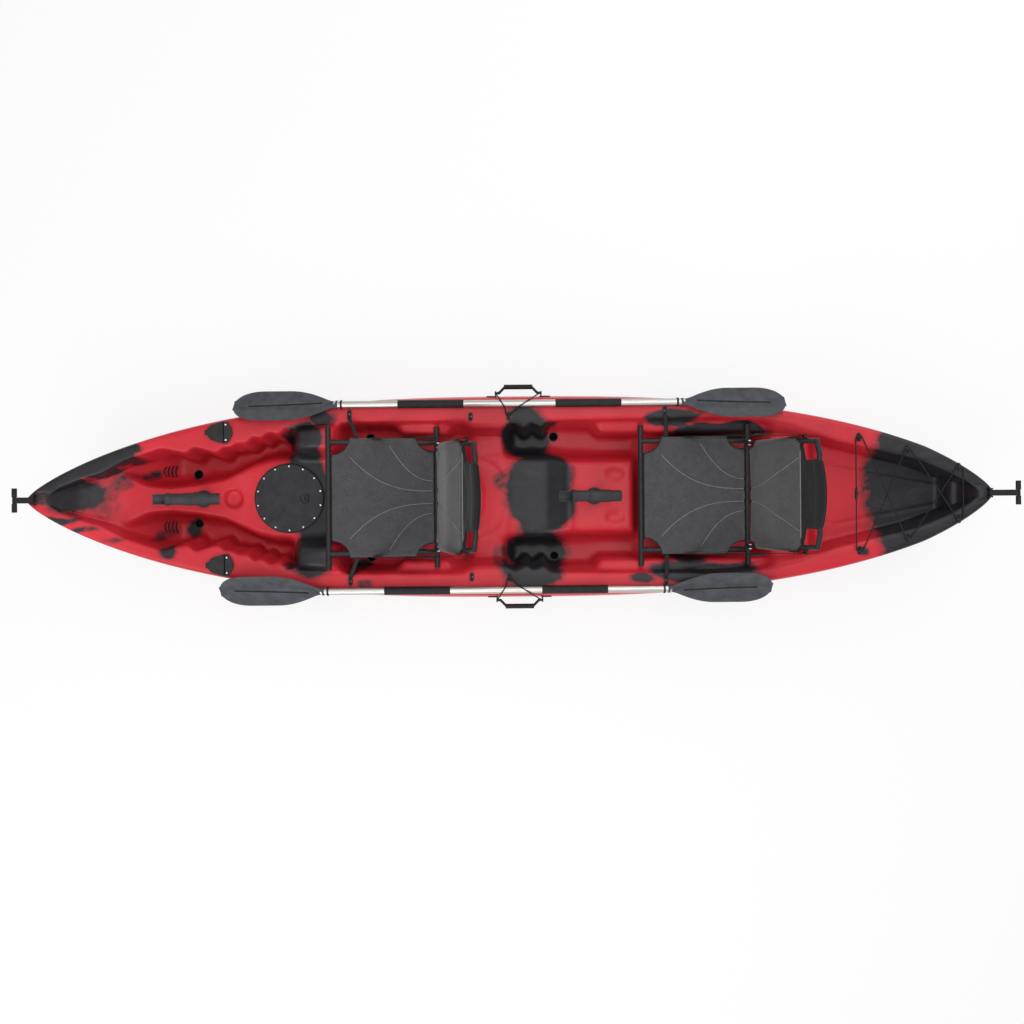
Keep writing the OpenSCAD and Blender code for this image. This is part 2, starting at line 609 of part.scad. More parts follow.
module rod_bolt(rod) {
  reach = rod_inner + rod_cheek;
  color(steel)
    translate(rod_pivot(rod)) {
      translate([0, -reach - 1, 0]) rotate([-90, 0, 0])
        cylinder(h = 2 * reach + 2, r = rod_bolt_r, $fn = 24);
      translate([0, -reach - 5, 0]) rotate([-90, 0, 0]) cylinder(h = 5 - seat_gap, r = 7, $fn = 24);
      translate([0, reach + seat_gap, 0]) rotate([-90, 0, 0]) cylinder(h = 8, r = 11, $fn = 8);
    }
}

// Flush rod holders: a plate with a leaning tube, a pad screwed to it, and a flap that turns on the
// pad's front edge. The outline is round in front and aft, with a lobe at each screw.
cap_t = 8;
cap_front = [2, 0];
cap_front_r = 34;
cap_lobe = [40, 31];
cap_lobe_r = 15;
cap_aft = [27, 0];
cap_aft_r = 42;
cap_tab = 9;
cap_hinge = [30, 0, flush_plate_t + seat_gap + cap_t / 2];
cap_hinge_half = 36;
cap_hinge_gap = 1.2;
// The mouth is wider than the bore down to this depth
mouth_depth = 20;
mouth_more = 1.5;
// Where the line that touches two circles on one side meets them
function touching(a, ra, b, rb, side) =
  let (d = b - a, t = atan2(d[1], d[0]) + side * acos((ra - rb) / norm(d)), n = [cos(t), sin(t)])
  [a + ra * n, b + rb * n];
module flush_outline(h) {
  half = concat(touching(cap_front, cap_front_r, cap_lobe, cap_lobe_r, 1),
    touching(cap_lobe, cap_lobe_r, cap_aft, cap_aft_r, 1));
  translate(cap_front) cylinder(h = h, r = cap_front_r, $fn = fine);
  translate(cap_aft) cylinder(h = h, r = cap_aft_r, $fn = fine);
  for (s = [-1, 1])
    translate([cap_lobe[0], s * cap_lobe[1], 0]) cylinder(h = h, r = cap_lobe_r, $fn = fine);
  linear_extrude(h)
    polygon(concat(half, [for (i = [len(half) - 1:-1:0]) [half[i][0], -half[i][1]]]));
}
module flush_tube(low, h, r) {
  rotate([0, flush_lean, 0]) translate([0, 0, low]) cylinder(h = h, r = r, $fn = fine);
}
module flush_rod_holders() {
  top = flush_plate_t + seat_gap + cap_t;
  front = cap_hinge[0] + cap_t / 2 + cap_hinge_gap;
  color(black)
    both() at_flush()
      difference() {
        union() {
          flush_outline(flush_plate_t);
          flush_tube(-flush_depth, flush_depth, flush_bore_r + tube_wall);
          difference() {
            flush_outline(top);
            translate([0, 100, 0]) rotate([90, 0, 0]) linear_extrude(200)
              polygon([[-100, -1], [front, -1], [front, cap_hinge[2]], [front + 2.4, top],
                [front + 3, top + 1], [-100, top + 1]]);
          }
        }
        flush_tube(-flush_depth + tube_wall, flush_depth + 40, flush_bore_r);
        flush_tube(-mouth_depth, mouth_depth + 40, flush_bore_r + mouth_more);
        translate([-50, -50, flush_plate_t]) cube([50 + cap_hinge[0], 100, 60]);
        for (s = [-1, 1])
          translate([cap_lobe[0] + 4, s * cap_lobe[1], -1])
            cylinder(h = top + 2, r = screw_r + fit_gap, $fn = 24);
      }
}
module flush_cap(side) {
  low = flush_plate_t + seat_gap;
  color("#232326")
    scale_side(side) at_flush() {
      difference() {
        translate([0, 0, low]) flush_outline(cap_t);
        translate([cap_hinge[0], -100, 0]) cube([100, 200, 40]);
      }
      translate(cap_hinge) rotate([90, 0, 0])
        cylinder(h = 2 * cap_hinge_half, r = cap_t / 2, center = true, $fn = 24);
      translate([cap_front[0] - cap_front_r - cap_tab, -11, low]) cube([cap_tab + 6, 22, 4]);
    }
}
// A plate with round ends
module scale_oval(half_x, half_y, t) {
  union() {
    for (s = [-1, 1])
      translate([s * (half_x - half_y), 0, 0]) cylinder(h = t, r = half_y, $fn = fine);
    translate([-half_x + half_y, -half_y, 0]) cube([2 * (half_x - half_y), 2 * half_y, t]);
  }
}
// Starboard as drawn, or port in the mirror
module scale_side(side) {
  mirror([0, side < 0 ? 1 : 0, 0]) children();
}

// Screws: heads with short shanks in the pieces that they hold
screw_r = 2.2;
screw_head_r = 4.4;
screw_head_h = 2.2;
module screw(shank) {
  cylinder(h = screw_head_h, r1 = screw_head_r, r2 = screw_head_r - 1.2, $fn = 24);
  translate([0, 0, -shank]) cylinder(h = shank + 0.5, r = screw_r, $fn = 24);
}
module screws() {
  color(silver) {
    at_hatch() at_hatch_screws() translate([0, 0, hatch_ring_h + 0.1]) screw(hatch_ring_h - 0.5);
    for (e = pad_eye_list)
      at_eye(e) translate([0, 0, eye_t + 0.1]) screw(eye_t - 0.5);
    both() at_flush()
      for (s = [-1, 1])
        translate([cap_lobe[0] + 4, s * cap_lobe[1], flush_plate_t + seat_gap + cap_t + 0.1])
          screw(flush_plate_t + cap_t);
    both() for (s = [-1, 1])
      at_bracket(s) translate([0, 0, bracket_t + 0.1]) screw(bracket_t - 0.5);
  }
}

// Pad eyes, [along, across] as drawn: those on the gunwale, and those that the tank well is laced to
keeper_eye = [-40, 330];
tether_eyes = [[-692, 342], [600, 347]];
spare_eyes = [[-196, 328], [890, 338]];
lace = [[1384, 230], [1576, 180], [1796, 104]];
pad_eye_list = [for (p = concat([keeper_eye], tether_eyes, spare_eyes, lace))
  for (s = [-1, 1]) [p[0], s * p[1]]];
eye_t = 4;
eye_half_x = 9;
eye_half_y = 18;
eye_arch_r = 13;
eye_wire = 2.6;
eye_lift = 0.6;
function eye_foot(e) = [kx * e[0] + rake(e[0], sheer(e[0])), ky * e[1], sheer(e[0]) + eye_lift];
module at_eye(e) {
  translate(eye_foot(e)) rotate([0, -slope(e[0]), 0]) children();
}
module pad_eye() {
  difference() {
    rotate(90) scale_oval(eye_half_y, eye_half_x, eye_t);
    translate([0, 0, -1]) cylinder(h = eye_t + 2, r = screw_r + fit_gap, $fn = 24);
  }
  translate([0, 0, eye_t - 1])
    rotate([90, 0, 90])
      rotate_extrude(angle = 180, $fn = fine) translate([eye_arch_r, 0]) circle(r = eye_wire, $fn = 24);
}
module pad_eyes() {
  color(black)
    for (e = pad_eye_list) at_eye(e) pad_eye();
}

// Bow and stern handles: saddle, webbing loop and toggle
saddle_half_y = 16;
saddle_h = 20;
saddle_pin_r = 4;
bow_end = -1;
stern_end = 1;
toggle_reach = 56;
toggle_len = 96;
bow_pin_in = 24;
stern_pin_in = 14;
function end_top(end) = seam(end * drawn_end)[2] + seam_gap + end_crown;
function end_deck(end) =
  end < 0 ? mix(sheer(-rim_from), end_top(end), 0.5) : max(sheer(rim_from), end_top(end));
function end_pin(end) =
  [end < 0 ? bow_pin_in - half_length : half_length - stern_rake - stern_pin_in, 0,
    end_deck(end) + saddle_h];
module end_saddle(end) {
  pin = end_pin(end);
  for (s = [-1, 1])
    translate([pin[0] - 9, s * saddle_half_y - 3, pin[2] - saddle_h + 0.4])
      difference() {
        union() {
          cube([18, 6, saddle_h - 0.4]);
          translate([9, 0, saddle_h - 0.4]) rotate([-90, 0, 0]) cylinder(h = 6, r = 9, $fn = fine);
        }
        translate([9, -1, saddle_h - 0.4]) rotate([-90, 0, 0])
          cylinder(h = 8, r = saddle_pin_r + run_gap, $fn = 24);
      }
}
module end_saddles() {
  color(black) {
    end_saddle(bow_end);
    end_saddle(stern_end);
  }
}
// A round bar across the boat
module across(x, half, r) {
  translate([x, -half, 0]) rotate([-90, 0, 0]) cylinder(h = 2 * half, r = r, $fn = fine);
}
// The webbing loop runs from its pin to the toggle
module end_strap(end) {
  pin = end_pin(end);
  reach = end * toggle_span(end);
  half = saddle_half_y - 4;
  color(black)
    translate(pin)
      difference() {
        union() {
          across(0, saddle_half_y + 2.5, saddle_pin_r);
          across(0, half, saddle_pin_r + 3);
          translate([min(0, reach), -half, -2]) cube([abs(reach), 2 * half, 4]);
          across(reach, half, grip_r - 2);
        }
        across(reach, half + 1, grip_r - 5 + 0.2);
      }
}
function toggle_span(end) = half_length + toggle_reach - grip_r - abs(end_pin(end)[0]);
module end_toggle(end) {
  pin = end_pin(end);
  reach = end * toggle_span(end);
  half = saddle_half_y - 4;
  color("#26262a")
    translate([pin[0] + reach, 0, pin[2]]) {
      across(0, toggle_len / 2, grip_r - 5);
      for (s = [-1, 1])
        translate([0, s * (half + 0.4 + toggle_len / 2) / 2 - (toggle_len / 2 - half - 0.4) / 2, 0])
          rotate([-90, 0, 0]) cylinder(h = toggle_len / 2 - half - 0.4, r = grip_r, $fn = fine);
    }
}

// Side carry handles, turning on pins along the hull's sides
bracket_t = 5;
handle_z = 268;
handle_out = 17;
handle_swing = 34;
handle_pin_r = 4;
bracket_half = 14;
function side_y(z) = lookup(z, [for (j = [12:15]) [section_z(0, j), section_y(0, j)]]);
bracket_lean = atan2(section_y(0, 13) - section_y(0, 14), section_z(0, 14) - section_z(0, 13));
handle_pin_y = side_y(handle_z * kz) + handle_out;
module at_bracket(s) {
  translate([s * side_handle_len / 2, side_y(handle_z * kz) + seat_gap, handle_z * kz])
    rotate([-90 + bracket_lean, 0, 0]) children();
}
module side_handle_brackets() {
  color(black)
    both() for (s = [-1, 1])
      difference() {
        union() {
          at_bracket(s) difference() {
            scale_oval(bracket_half + 8, bracket_half, bracket_t);
            translate([0, 0, -1]) cylinder(h = bracket_t + 2, r = screw_r + fit_gap, $fn = 24);
          }
          translate([s * (side_handle_len / 2 - bracket_half - 2) - 3, handle_pin_y, handle_z * kz])
            rotate([0, 90, 0]) cylinder(h = 6, r = 8, $fn = fine);
          translate([s * (side_handle_len / 2 - bracket_half - 2) - 3, side_y(handle_z * kz) + 3,
            handle_z * kz - 8])
            cube([6, handle_out - 3, 16]);
        }
        translate([-side_handle_len, handle_pin_y, handle_z * kz])
          rotate([0, 90, 0]) cylinder(h = 2 * side_handle_len, r = handle_pin_r + run_gap, $fn = 24);
      }
}
module side_handle(side) {
  end = side_handle_len / 2 - bracket_half - 6.5;
  color("#222225")
    scale_side(side) translate([0, handle_pin_y, handle_z * kz]) {
      for (s = [-1, 1]) {
        translate([min(s * end, s * (end + 8)), 0, 0]) rotate([0, 90, 0])
          cylinder(h = 8, r = handle_pin_r, $fn = 24);
        bent([[s * end, 0, 0], [s * (end - 10), 0, 0],
          [s * (end - 34), handle_swing * 0.8, -handle_swing * 0.6]], handle_pin_r + 1.5);
      }
      translate([0, handle_swing * 0.8, -handle_swing * 0.6])
        rotate([0, 90, 0]) cylinder(h = 2 * end - 60, r = grip_r, center = true, $fn = fine);
    }
}

// Stowed paddles
ring_r = shaft_r + 3.5;
ring_w = 7;
front_shift = [-96, -36];
function paddle_x(side) = kx * front_shift[side < 0 ? 0 : 1];
function paddle_z(side) = sheer((paddle_x(side) - ring_at - ring_w) / kx) + ring_r + 0.2;
shaft_half = paddle_len / 2 - blade_len + 20;
ring_at = shaft_half - 30;
ferrule_len = 160;
ferrule_r = shaft_r - 1.6;
ferrule_wall = 1.5;
button_r = 3.5;
button_x = 40;
// The spring button looks down, clear of the bungee over the shaft
module at_button() {
  translate([button_x, 0, 0]) rotate([180, 0, 0]) children();
}
grip_len = 268;
grip_in = 187;
grip_t = 1.6;
module at_paddle(side) {
  scale_side(side) translate([paddle_x(side), paddle_y, paddle_z(side)]) children();
}
module paddle_shaft(side) {
  color(silver)
    at_paddle(side)
      difference() {
        union() {
          translate([-shaft_half, 0, 0]) rotate([0, 90, 0])
            cylinder(h = shaft_half - 0.2, r = shaft_r, $fn = fine);
          translate([0.2, 0, 0]) rotate([0, 90, 0])
            cylinder(h = shaft_half - 0.2, r = shaft_r, $fn = fine);
        }
        translate([-shaft_half - 1, 0, 0]) rotate([0, 90, 0])
          cylinder(h = 2 * shaft_half + 2, r = ferrule_r + run_gap, $fn = fine);
        at_button() cylinder(h = 2 * shaft_r, r = button_r + run_gap, $fn = 24);
      }
}
module paddle_ferrule(side) {
  color(steel)
    at_paddle(side)
      difference() {
        translate([-ferrule_len / 2, 0, 0]) rotate([0, 90, 0])
          cylinder(h = ferrule_len, r = ferrule_r, $fn = fine);
        translate([-ferrule_len, 0, 0]) rotate([0, 90, 0])
          cylinder(h = 2 * ferrule_len, r = ferrule_r - ferrule_wall, $fn = fine);
        at_button() cylinder(h = 2 * shaft_r, r = button_r + run_gap, $fn = 24);
      }
}
module paddle_button(side) {
  low = ferrule_r - ferrule_wall - 5;
  color(steel)
    at_paddle(side) at_button() translate([0, 0, low]) {
      cylinder(h = shaft_r + 2.4 - low, r = button_r, $fn = 24);
      cylinder(h = 2, r = button_r + 2, $fn = 24);
    }
}
module paddle_grips(side) {
  color(black)
    at_paddle(side)
      for (s = [-1, 1])
        translate([s * (grip_in + grip_len / 2), 0, 0])
          difference() {
            rotate([0, 90, 0]) cylinder(h = grip_len, r = shaft_r + grip_t, center = true, $fn = fine);
            rotate([0, 90, 0]) cylinder(h = grip_len + 2, r = shaft_r + run_gap, center = true, $fn = fine);
          }
}
module paddle_rings(side) {
  color(black)
    at_paddle(side)
      for (s = [-1, 1])
        translate([s * ring_at, 0, 0])
          difference() {
            rotate([0, 90, 0]) cylinder(h = ring_w, r = ring_r, center = true, $fn = fine);
            rotate([0, 90, 0]) cylinder(h = ring_w + 2, r = shaft_r + run_gap, center = true, $fn = fine);
          }
}
// A blade's outline, spoon and rib, along u from its neck and across v
blade_rows = 13;
blade_cols = 9;
blade_t = 5;
blade_neck = shaft_r + 4;
function blade_half(u) =
  let (open = sin(90 * clamp01((u - 0.06) / 0.42)),
    shut = sqrt(max(0, 1 - pow(clamp01((u - 0.72) / 0.28), 2.4))))
  max(blade_neck * 0.8, mix(blade_neck, blade_w / 2, open) * (u < 0.72 ? 1 : max(0.3, shut)));
function blade_drop(u) = 14 * sin(90 * clamp01(u * 1.2));
function blade_point(u, v, up) =
  let (half = blade_half(u), rib = 9 * (1 - 0.75 * u) * max(0, 1 - abs(v) * 3.2),
    neck = (shaft_r + 2) * pow(1 - clamp01(u / 0.22), 2) * sqrt(max(0, 1 - v * v)))
  [u * blade_len, v * half * (v < 0 ? 1 : 0.94),
    -blade_drop(u) * (1 - v * v) * 0.7 + up * (blade_t / 2 * (1 - 0.5 * v * v) + max(rib, neck))];
blade_start = 0.012;
function blade_grid(up) = [for (i = [0:blade_rows - 1])
  [for (j = [0:blade_cols - 1])
    blade_point(mix(blade_start, 1, i / (blade_rows - 1)), up * (2 * j / (blade_cols - 1) - 1) * up, up)]];
module blade() {
  difference() {
    sheet(blade_grid(1), blade_grid(-1));
    translate([-10, 0, 0]) rotate([0, 90, 0]) cylinder(h = 38, r = shaft_r + run_gap, $fn = fine);
  }
}
module paddle_blades(side) {
  color(charcoal)
    at_paddle(side)
      for (s = [0, 1])
        mirror([1 - s, 0, 0]) translate([shaft_half - 20, 0, 0]) rotate([-blade_tilt, 0, 0]) blade();
}

// Bungee that holds a paddle: from a handle bracket over the shaft to the eye, and back over the
// shaft to the other bracket
keeper_gap = 1.2;
function keeper_leg(side, x0) =
  let (foot = [x0, handle_pin_y, handle_z * kz + 8 + cord_r + 0.4], z = paddle_z(side),
    eye = eye_foot(keeper_eye) + [0, 4, cord_over], r = shaft_r + cord_r + keeper_gap,
    at = function(y, z) [mix(x0, eye[0], (y - foot[1]) / (eye[1] - foot[1])), y, z])
  concat([foot, at(handle_pin_y - 6, foot[2] + 16), at(paddle_y + r + 2, z + 2)],
    [for (a = [66:-22:-66]) at(paddle_y + r * sin(a), z + r * cos(a))],
    [at(paddle_y - r - 4, z + 2), eye + [x0 < 0 ? -12 : 12, 8, 1]]);
module keeper_cord(side) {
  x0 = -side_handle_len / 2 + bracket_half + 2;
  eye = eye_foot(keeper_eye) + [0, 0, cord_over];
  color(black)
    scale_side(side)
      cord(concat(keeper_leg(side, x0), [eye + [-5, 1, 0], eye + [5, 1, 0]],
        flipped(keeper_leg(side, -x0))), cord_r);
}

// Bungee laced across the tank well, and the hook that joins its ends
cord_over = eye_t + screw_head_h + cord_r + 1.8;
function lace_point(i, s) =
  eye_foot([lace[i][0], s * lace[i][1]]) + [0, 0, cord_over];
// The turn through an eye, from its forward side to its aft side
function lace_turn(p) =
  let (s = sign(p[1]))
  [p + [-15, -10 * s, 0], p + [-7, -1.5 * s, 0], p + [7, -1.5 * s, 0], p + [15, -10 * s, 0]];
function flipped(v) = [for (i = [len(v) - 1:-1:0]) v[i]];
hook_len = 44;
module tank_bungee() {
  a = lace_turn(lace_point(0, 1));
  b = lace_turn(lace_point(1, -1));
  c = lace_turn(lace_point(2, 1));
  d = flipped(lace_turn(lace_point(2, -1)));
  e = flipped(lace_turn(lace_point(1, 1)));
  f = flipped(lace_turn(lace_point(0, -1)));
  lift = [0, 0, 2 * cord_r + 1];
  h = [0, hook_len / 2 - 4, 0];
  middle = [a[0][0], 0, a[0][2]];
  color(black)
    cord(concat([middle + h, mix(middle, a[0], 0.5)], a, [mix(a[3], b[0], 0.4), mix(a[3], b[0], 0.6)], b,
      [mix(b[3], c[0], 0.4), mix(b[3], c[0], 0.6)], c, [mix(c[3], d[0], 0.5)], d,
      [mix(d[3], e[0], 0.4) + lift, mix(d[3], e[0], 0.6) + lift], e,
      [mix(e[3], f[0], 0.4) + lift, mix(e[3], f[0], 0.6) + lift], f,
      [mix(f[3], middle, 0.5), middle - h]), cord_r);
}
module bungee_hook() {
  m = lace_turn(lace_point(0, 1))[0];
  color("#2a2a2d")
    translate([m[0], 0, m[2]])
      difference() {
        scale_hook();
        for (s = [-1, 1])
          translate([0, s * hook_len / 2, 0]) rotate([90, 0, 0])
            cylinder(h = 12, r = cord_r + 0.3, center = true, $fn = 24);
      }
}
module scale_hook() {
  rotate([90, 0, 0]) cylinder(h = hook_len, r = 6, center = true, $fn = fine);
  translate([0, 0, 6]) sphere(r = 4, $fn = 24);
}

// Seats. Each is [front tube x, front tube z, rear tube z], resting on shoulders or ledges of the deck
shoulder_z = deck_z(-768, ky * 240);
ledge_z = kz * ledge_height;
lift_tube = seat_tube_r + seat_gap;
front_seat = [kx * -768, shoulder_z + lift_tube * 1.03, ledge_z + lift_tube];
rear_seat = [kx * 502, ledge_z + lift_tube, ledge_z + lift_tube];
function seat_tilt(seat) = asin((seat[2] - seat[1]) / seat_len);
function rail_point(seat, t) = [seat[0] + seat_len * cos(seat_tilt(seat)) * t, 0, mix(seat[1], seat[2], t)];
pivot_t = 1;
function back_pivot(seat) =
  rail_point(seat, pivot_t) + back_pivot_h * [sin(-seat_tilt(seat)), 0, cos(seat_tilt(seat))];
// The side rails are a little slimmer than the cross tubes that they meet
side_rail_r = seat_tube_r - 0.5;
back_rail_y = seat_rail_y - 21;
back_tube_r = seat_tube_r - 1;
back_bend = [60, 225];
back_top = [178, back_h];
// The bar across the top
back_bar = back_top - [10, 14];
lug_t = 6;
lug_r = 15;
seat_bolt_r = 4;

module seat_frame(seat) {
  color("#2b2b2e")
    difference() {
      union() {
        for (t = [0, 1])
          translate(rail_point(seat, t)) rotate([90, 0, 0])
            cylinder(h = 2 * seat_cross_y, r = seat_tube_r, center = true, $fn = fine);
        both() {
          bar(rail_point(seat, 0) + [0, seat_rail_y, 0], rail_point(seat, pivot_t) + [0, seat_rail_y, 0],
            side_rail_r);
          seat_lug(seat);
        }
      }
      translate(back_pivot(seat)) rotate([90, 0, 0])
        cylinder(h = 3 * seat_rail_y, r = seat_bolt_r + run_gap, center = true, $fn = 24);
    }
}
// The plate that carries the back's pivot above a side rail
module seat_lug(seat) {
  p = back_pivot(seat);
  foot = rail_point(seat, pivot_t - 0.08);
  translate([0, seat_rail_y - 13 + lug_t, 0]) rotate([90, 0, 0])
    linear_extrude(lug_t) {
      translate([p[0], p[2]]) circle(r = lug_r, $fn = fine);
      polygon([[p[0] - lug_r, p[2]], [p[0] + lug_r, p[2]],
        [foot[0] + 26, foot[2]], [foot[0] - 26, foot[2]]]);
    }
}
function back_at(seat, v, y) = back_pivot(seat) + [v[0], y, v[1]];
module seat_back_frame(seat) {
  start = 0.16;
  top_y = back_rail_y - 6;
  color("#2b2b2e")
    difference() {
      union() {
        both() {
          bent([back_at(seat, back_bend * start, back_rail_y), back_at(seat, back_bend, back_rail_y),
            back_at(seat, mix(back_bend, back_top, 0.86), top_y),
            back_at(seat, back_bar, top_y - 46)], back_tube_r);
          back_lug(seat);
        }
        bar(back_at(seat, back_bar, top_y - 46), back_at(seat, back_bar, 46 - top_y), back_tube_r);
        both() translate(back_at(seat, back_bar, top_y - 46))
          sphere(r = back_tube_r + bend_swell, $fn = fine);
      }
      translate(back_pivot(seat)) rotate([90, 0, 0])
        cylinder(h = 3 * seat_rail_y, r = seat_bolt_r + run_gap, center = true, $fn = 24);
    }
}
module back_lug(seat) {
  p = back_pivot(seat);
  up = back_bend * 0.24;
  translate([0, seat_rail_y - 13 - 0.4, 0]) rotate([90, 0, 0])
    linear_extrude(lug_t) {
      translate([p[0], p[2]]) circle(r = lug_r - 2, $fn = fine);
      polygon([[p[0] - lug_r + 2, p[2]], [p[0] + lug_r - 2, p[2]],
        [p[0] + up[0] + 9, p[2] + up[1]], [p[0] + up[0] - 9, p[2] + up[1]]]);
    }
}
module seat_bolts(seat) {
  color(steel)
    both() translate(back_pivot(seat)) {
      inner = seat_rail_y - 13 - 0.4 - lug_t;
      outer = seat_rail_y - 13 + lug_t;
      translate([0, inner - 1, 0]) rotate([-90, 0, 0])
        cylinder(h = outer - inner + 2, r = seat_bolt_r, $fn = 24);
      translate([0, inner - 4, 0]) rotate([-90, 0, 0]) cylinder(h = 4 - seat_gap, r = 7, $fn = 24);
      translate([0, outer + seat_gap, 0]) rotate([-90, 0, 0]) cylinder(h = 4, r = 7, $fn = 24);
    }
}

// Padded slings: fan seams run from the middle of the rear edge out to the front corners.
// Rows across the half pad lie on its centre, its seams and its edge.
pad_half = seat_rail_y + seat_tube_r + 5;
notch = 72;
front_bite = 68;
rear_bite = 54;
seam_depth = 7;
pad_stations = [0, 0.055, 0.105, 0.145, 0.168, 0.182, 0.28, 0.4, 0.5, 0.6, 0.72, 0.818, 0.832,
  0.855, 0.895, 0.945, 1];
function pad_edge(t, len) =
  let (d = min(t, 1 - t) * len, k = clamp01(d / notch))
  pad_half - (t < 0.5 ? front_bite : rear_bite) * sqrt(max(0, 1 - k * k));
function fan(t, a, b, power) = mix(b, a, pow(1 - t, power));
function pad_rows(t, len) =
  let (edge = pad_edge(t, len), s1 = min(fan(t, 172, 18, 2.2), edge - 34),
    s2 = min(max(fan(t, 330, 44, 1.9), s1 + 22), edge - 16))
  [[0, 1], [s1 * 0.55, 1], [s1 - 6, 0.85], [s1, 0], [s1 + 6, 0.85], [mix(s1, s2, 0.5), 1],
    [s2 - 5, 0.85], [s2, 0.1], [min(s2 + 6, edge - 8), 0.8], [edge - 6, 0.9], [edge, 0.4]];
function pad_height(t, y, full) =
  let (crown = 9 * sin(180 * t) * max(0, 1 - pow(y / pad_half, 2))) full * seam_depth + crown;
function pad_under(y) = -6 - seat_tube_r * 0.45 * clamp01((y - pad_half + 40) / 20);
function pad_half_rows(t, len, up) = [for (r = pad_rows(t, len))
  [t * len, r[0], up > 0 ? pad_t - seam_depth - 9 + pad_height(t, r[0], r[1]) : pad_under(r[0])]];
module pad(len) {
  sheet([for (t = pad_stations) mirrored(pad_half_rows(t, len, 1))],
    [for (t = pad_stations) mirrored(pad_half_rows(t, len, -1))]);
}
module seat_pad(seat) {
  gap = seat_tube_r + 2;
  len = norm(rail_point(seat, 1) - rail_point(seat, 0)) - 2 * gap;
  color(fabric)
    translate(rail_point(seat, 0)) rotate([0, -seat_tilt(seat), 0])
      difference() {
        translate([gap, 0, 0]) pad(len);
        both() translate([-gap, seat_rail_y, 0]) rotate([0, 90, 0])
          cylinder(h = len + 4 * gap, r = seat_tube_r + seat_gap, $fn = fine);
      }
}

// The back panel follows the bent rails, with its top corners cut away round the head panel
back_rows = 12;
panel_from = 0.08;
panel_low_half = back_rail_y - back_tube_r - 4;
head_half = 126;
panel_t = 20;
function back_path(s) =
  s < 0.5 ? mix(back_bend * panel_from, back_bend, s * 2)
    : mix(back_bend, back_top - [6, 6], (s - 0.5) * 2);
function panel_half(s) =
  s < 0.1 ? panel_low_half : s < 0.74 ? back_rail_y + back_tube_r + 5 - 3 * s
  : mix(back_rail_y - 20, head_half, clamp01((s - 0.76) / 0.1));
function panel_lines(s) =
  let (e = panel_half(s), s1 = mix(24, 0.55 * e, s), s2 = min(mix(70, 0.85 * e, s), e - 30))
  [[0, 1], [s1 - 7, 0.9], [s1, 0], [s1 + 7, 0.9], [(s1 + s2) / 2, 1], [s2 - 6, 0.9], [s2, 0.1],
    [s2 + 6, 0.9], [e - 12, 1], [e, 0.35]];
function panel_normal(s) =
  let (d = back_path(min(1, s + 0.02)) - back_path(max(0, s - 0.02))) unit([-d[1], d[0]]);
function panel_point(seat, s, line, front) =
  let (c = back_path(s), n = panel_normal(s),
    out = front ? panel_t / 2 - 5 + 5 * line[1] + 4 * sin(180 * s) : -panel_t / 2 - 3)
  back_at(seat, c + n * out, line[0]);
module seat_back_pad(seat) {
  ss = [for (i = [0:back_rows - 1]) i / (back_rows - 1)];
  top_y = back_rail_y - 6;
  low = back_at(seat, back_bend * 0.14, back_rail_y);
  knee = back_at(seat, back_bend, back_rail_y);
  high = back_at(seat, mix(back_bend, back_top, 0.86), top_y);
  over = 4;
  sleeve_r = back_tube_r + bend_swell + seat_gap;
  color(fabric)
    difference() {
      sheet([for (s = ss) mirrored([for (l = panel_lines(s)) panel_point(seat, s, l, true)])],
        [for (s = ss) mirrored([for (l = panel_lines(s)) panel_point(seat, s, l, false)])]);
      both() {
        bar(low, knee + over * unit(knee - low), sleeve_r);
        bar(knee - over * unit(high - knee), high + 12 * unit(high - knee), sleeve_r);
      }
      bar(back_at(seat, back_bar, -head_half - 40), back_at(seat, back_bar, head_half + 40),
        sleeve_r);
    }
}

// Webbing from the base sling to the back, with a ladder buckle
strap_t = 2.5;
strap_low_t = 0.42;
strap_top_part = 0.62;
module seat_straps(seat) {
  low = rail_point(seat, strap_low_t) + [0, pad_half + strap_t / 2 + 0.4, 4];
  rail_side = back_rail_y - 6 * strap_top_part / 0.86 + back_tube_r;
  top_y = back_rail_y + back_tube_r + 6 + strap_t / 2 + 0.4;
  high = back_at(seat, mix(back_bend, back_top, strap_top_part), top_y);
  run = high - low;
  bare = unit([run[0], 0, run[2]]);
  side = [-bare[2], 0, bare[0]];
  color(black)
    both() {
      strap([low, low + 30 * bare, mix(low, high, 0.5), high - 30 * bare, high], side, strap_w, strap_t);
      translate(mix(low, high, 0.62) + [0, strap_t / 2 + 2, 0]) rotate([0, -atan2(run[2], run[0]), 0])
        cube([34, 6, strap_w + 8], center = true);
      translate([high[0], rail_side + 0.4, high[2]]) rotate([-90, 0, 0])
        cylinder(h = top_y - rail_side + 2, r = 5, $fn = 24);
    }
}
// Tethers from the base rails out to the pad eyes on the gunwale
tether_w = 25;
function tether(seat, eye, t) =
  let (a = rail_point(seat, t), e = eye_foot(eye) + [0, -eye_arch_r - 1.8, eye_t + 6.5])
  [[a[0], pad_half + 1.8, a[2] - 6], [a[0], pad_half + 5, a[2] + 4],
    mix([a[0], pad_half + 12, a[2] + 12], e, 0.5), e];
module seat_tethers() {
  color(black)
    both() {
      strap(tether(front_seat, tether_eyes[0], 0.26), [1, 0, 0], tether_w - 8, strap_t);
      strap(tether(rear_seat, tether_eyes[1], 0.24), [1, 0, 0], tether_w - 8, strap_t);
    }
}

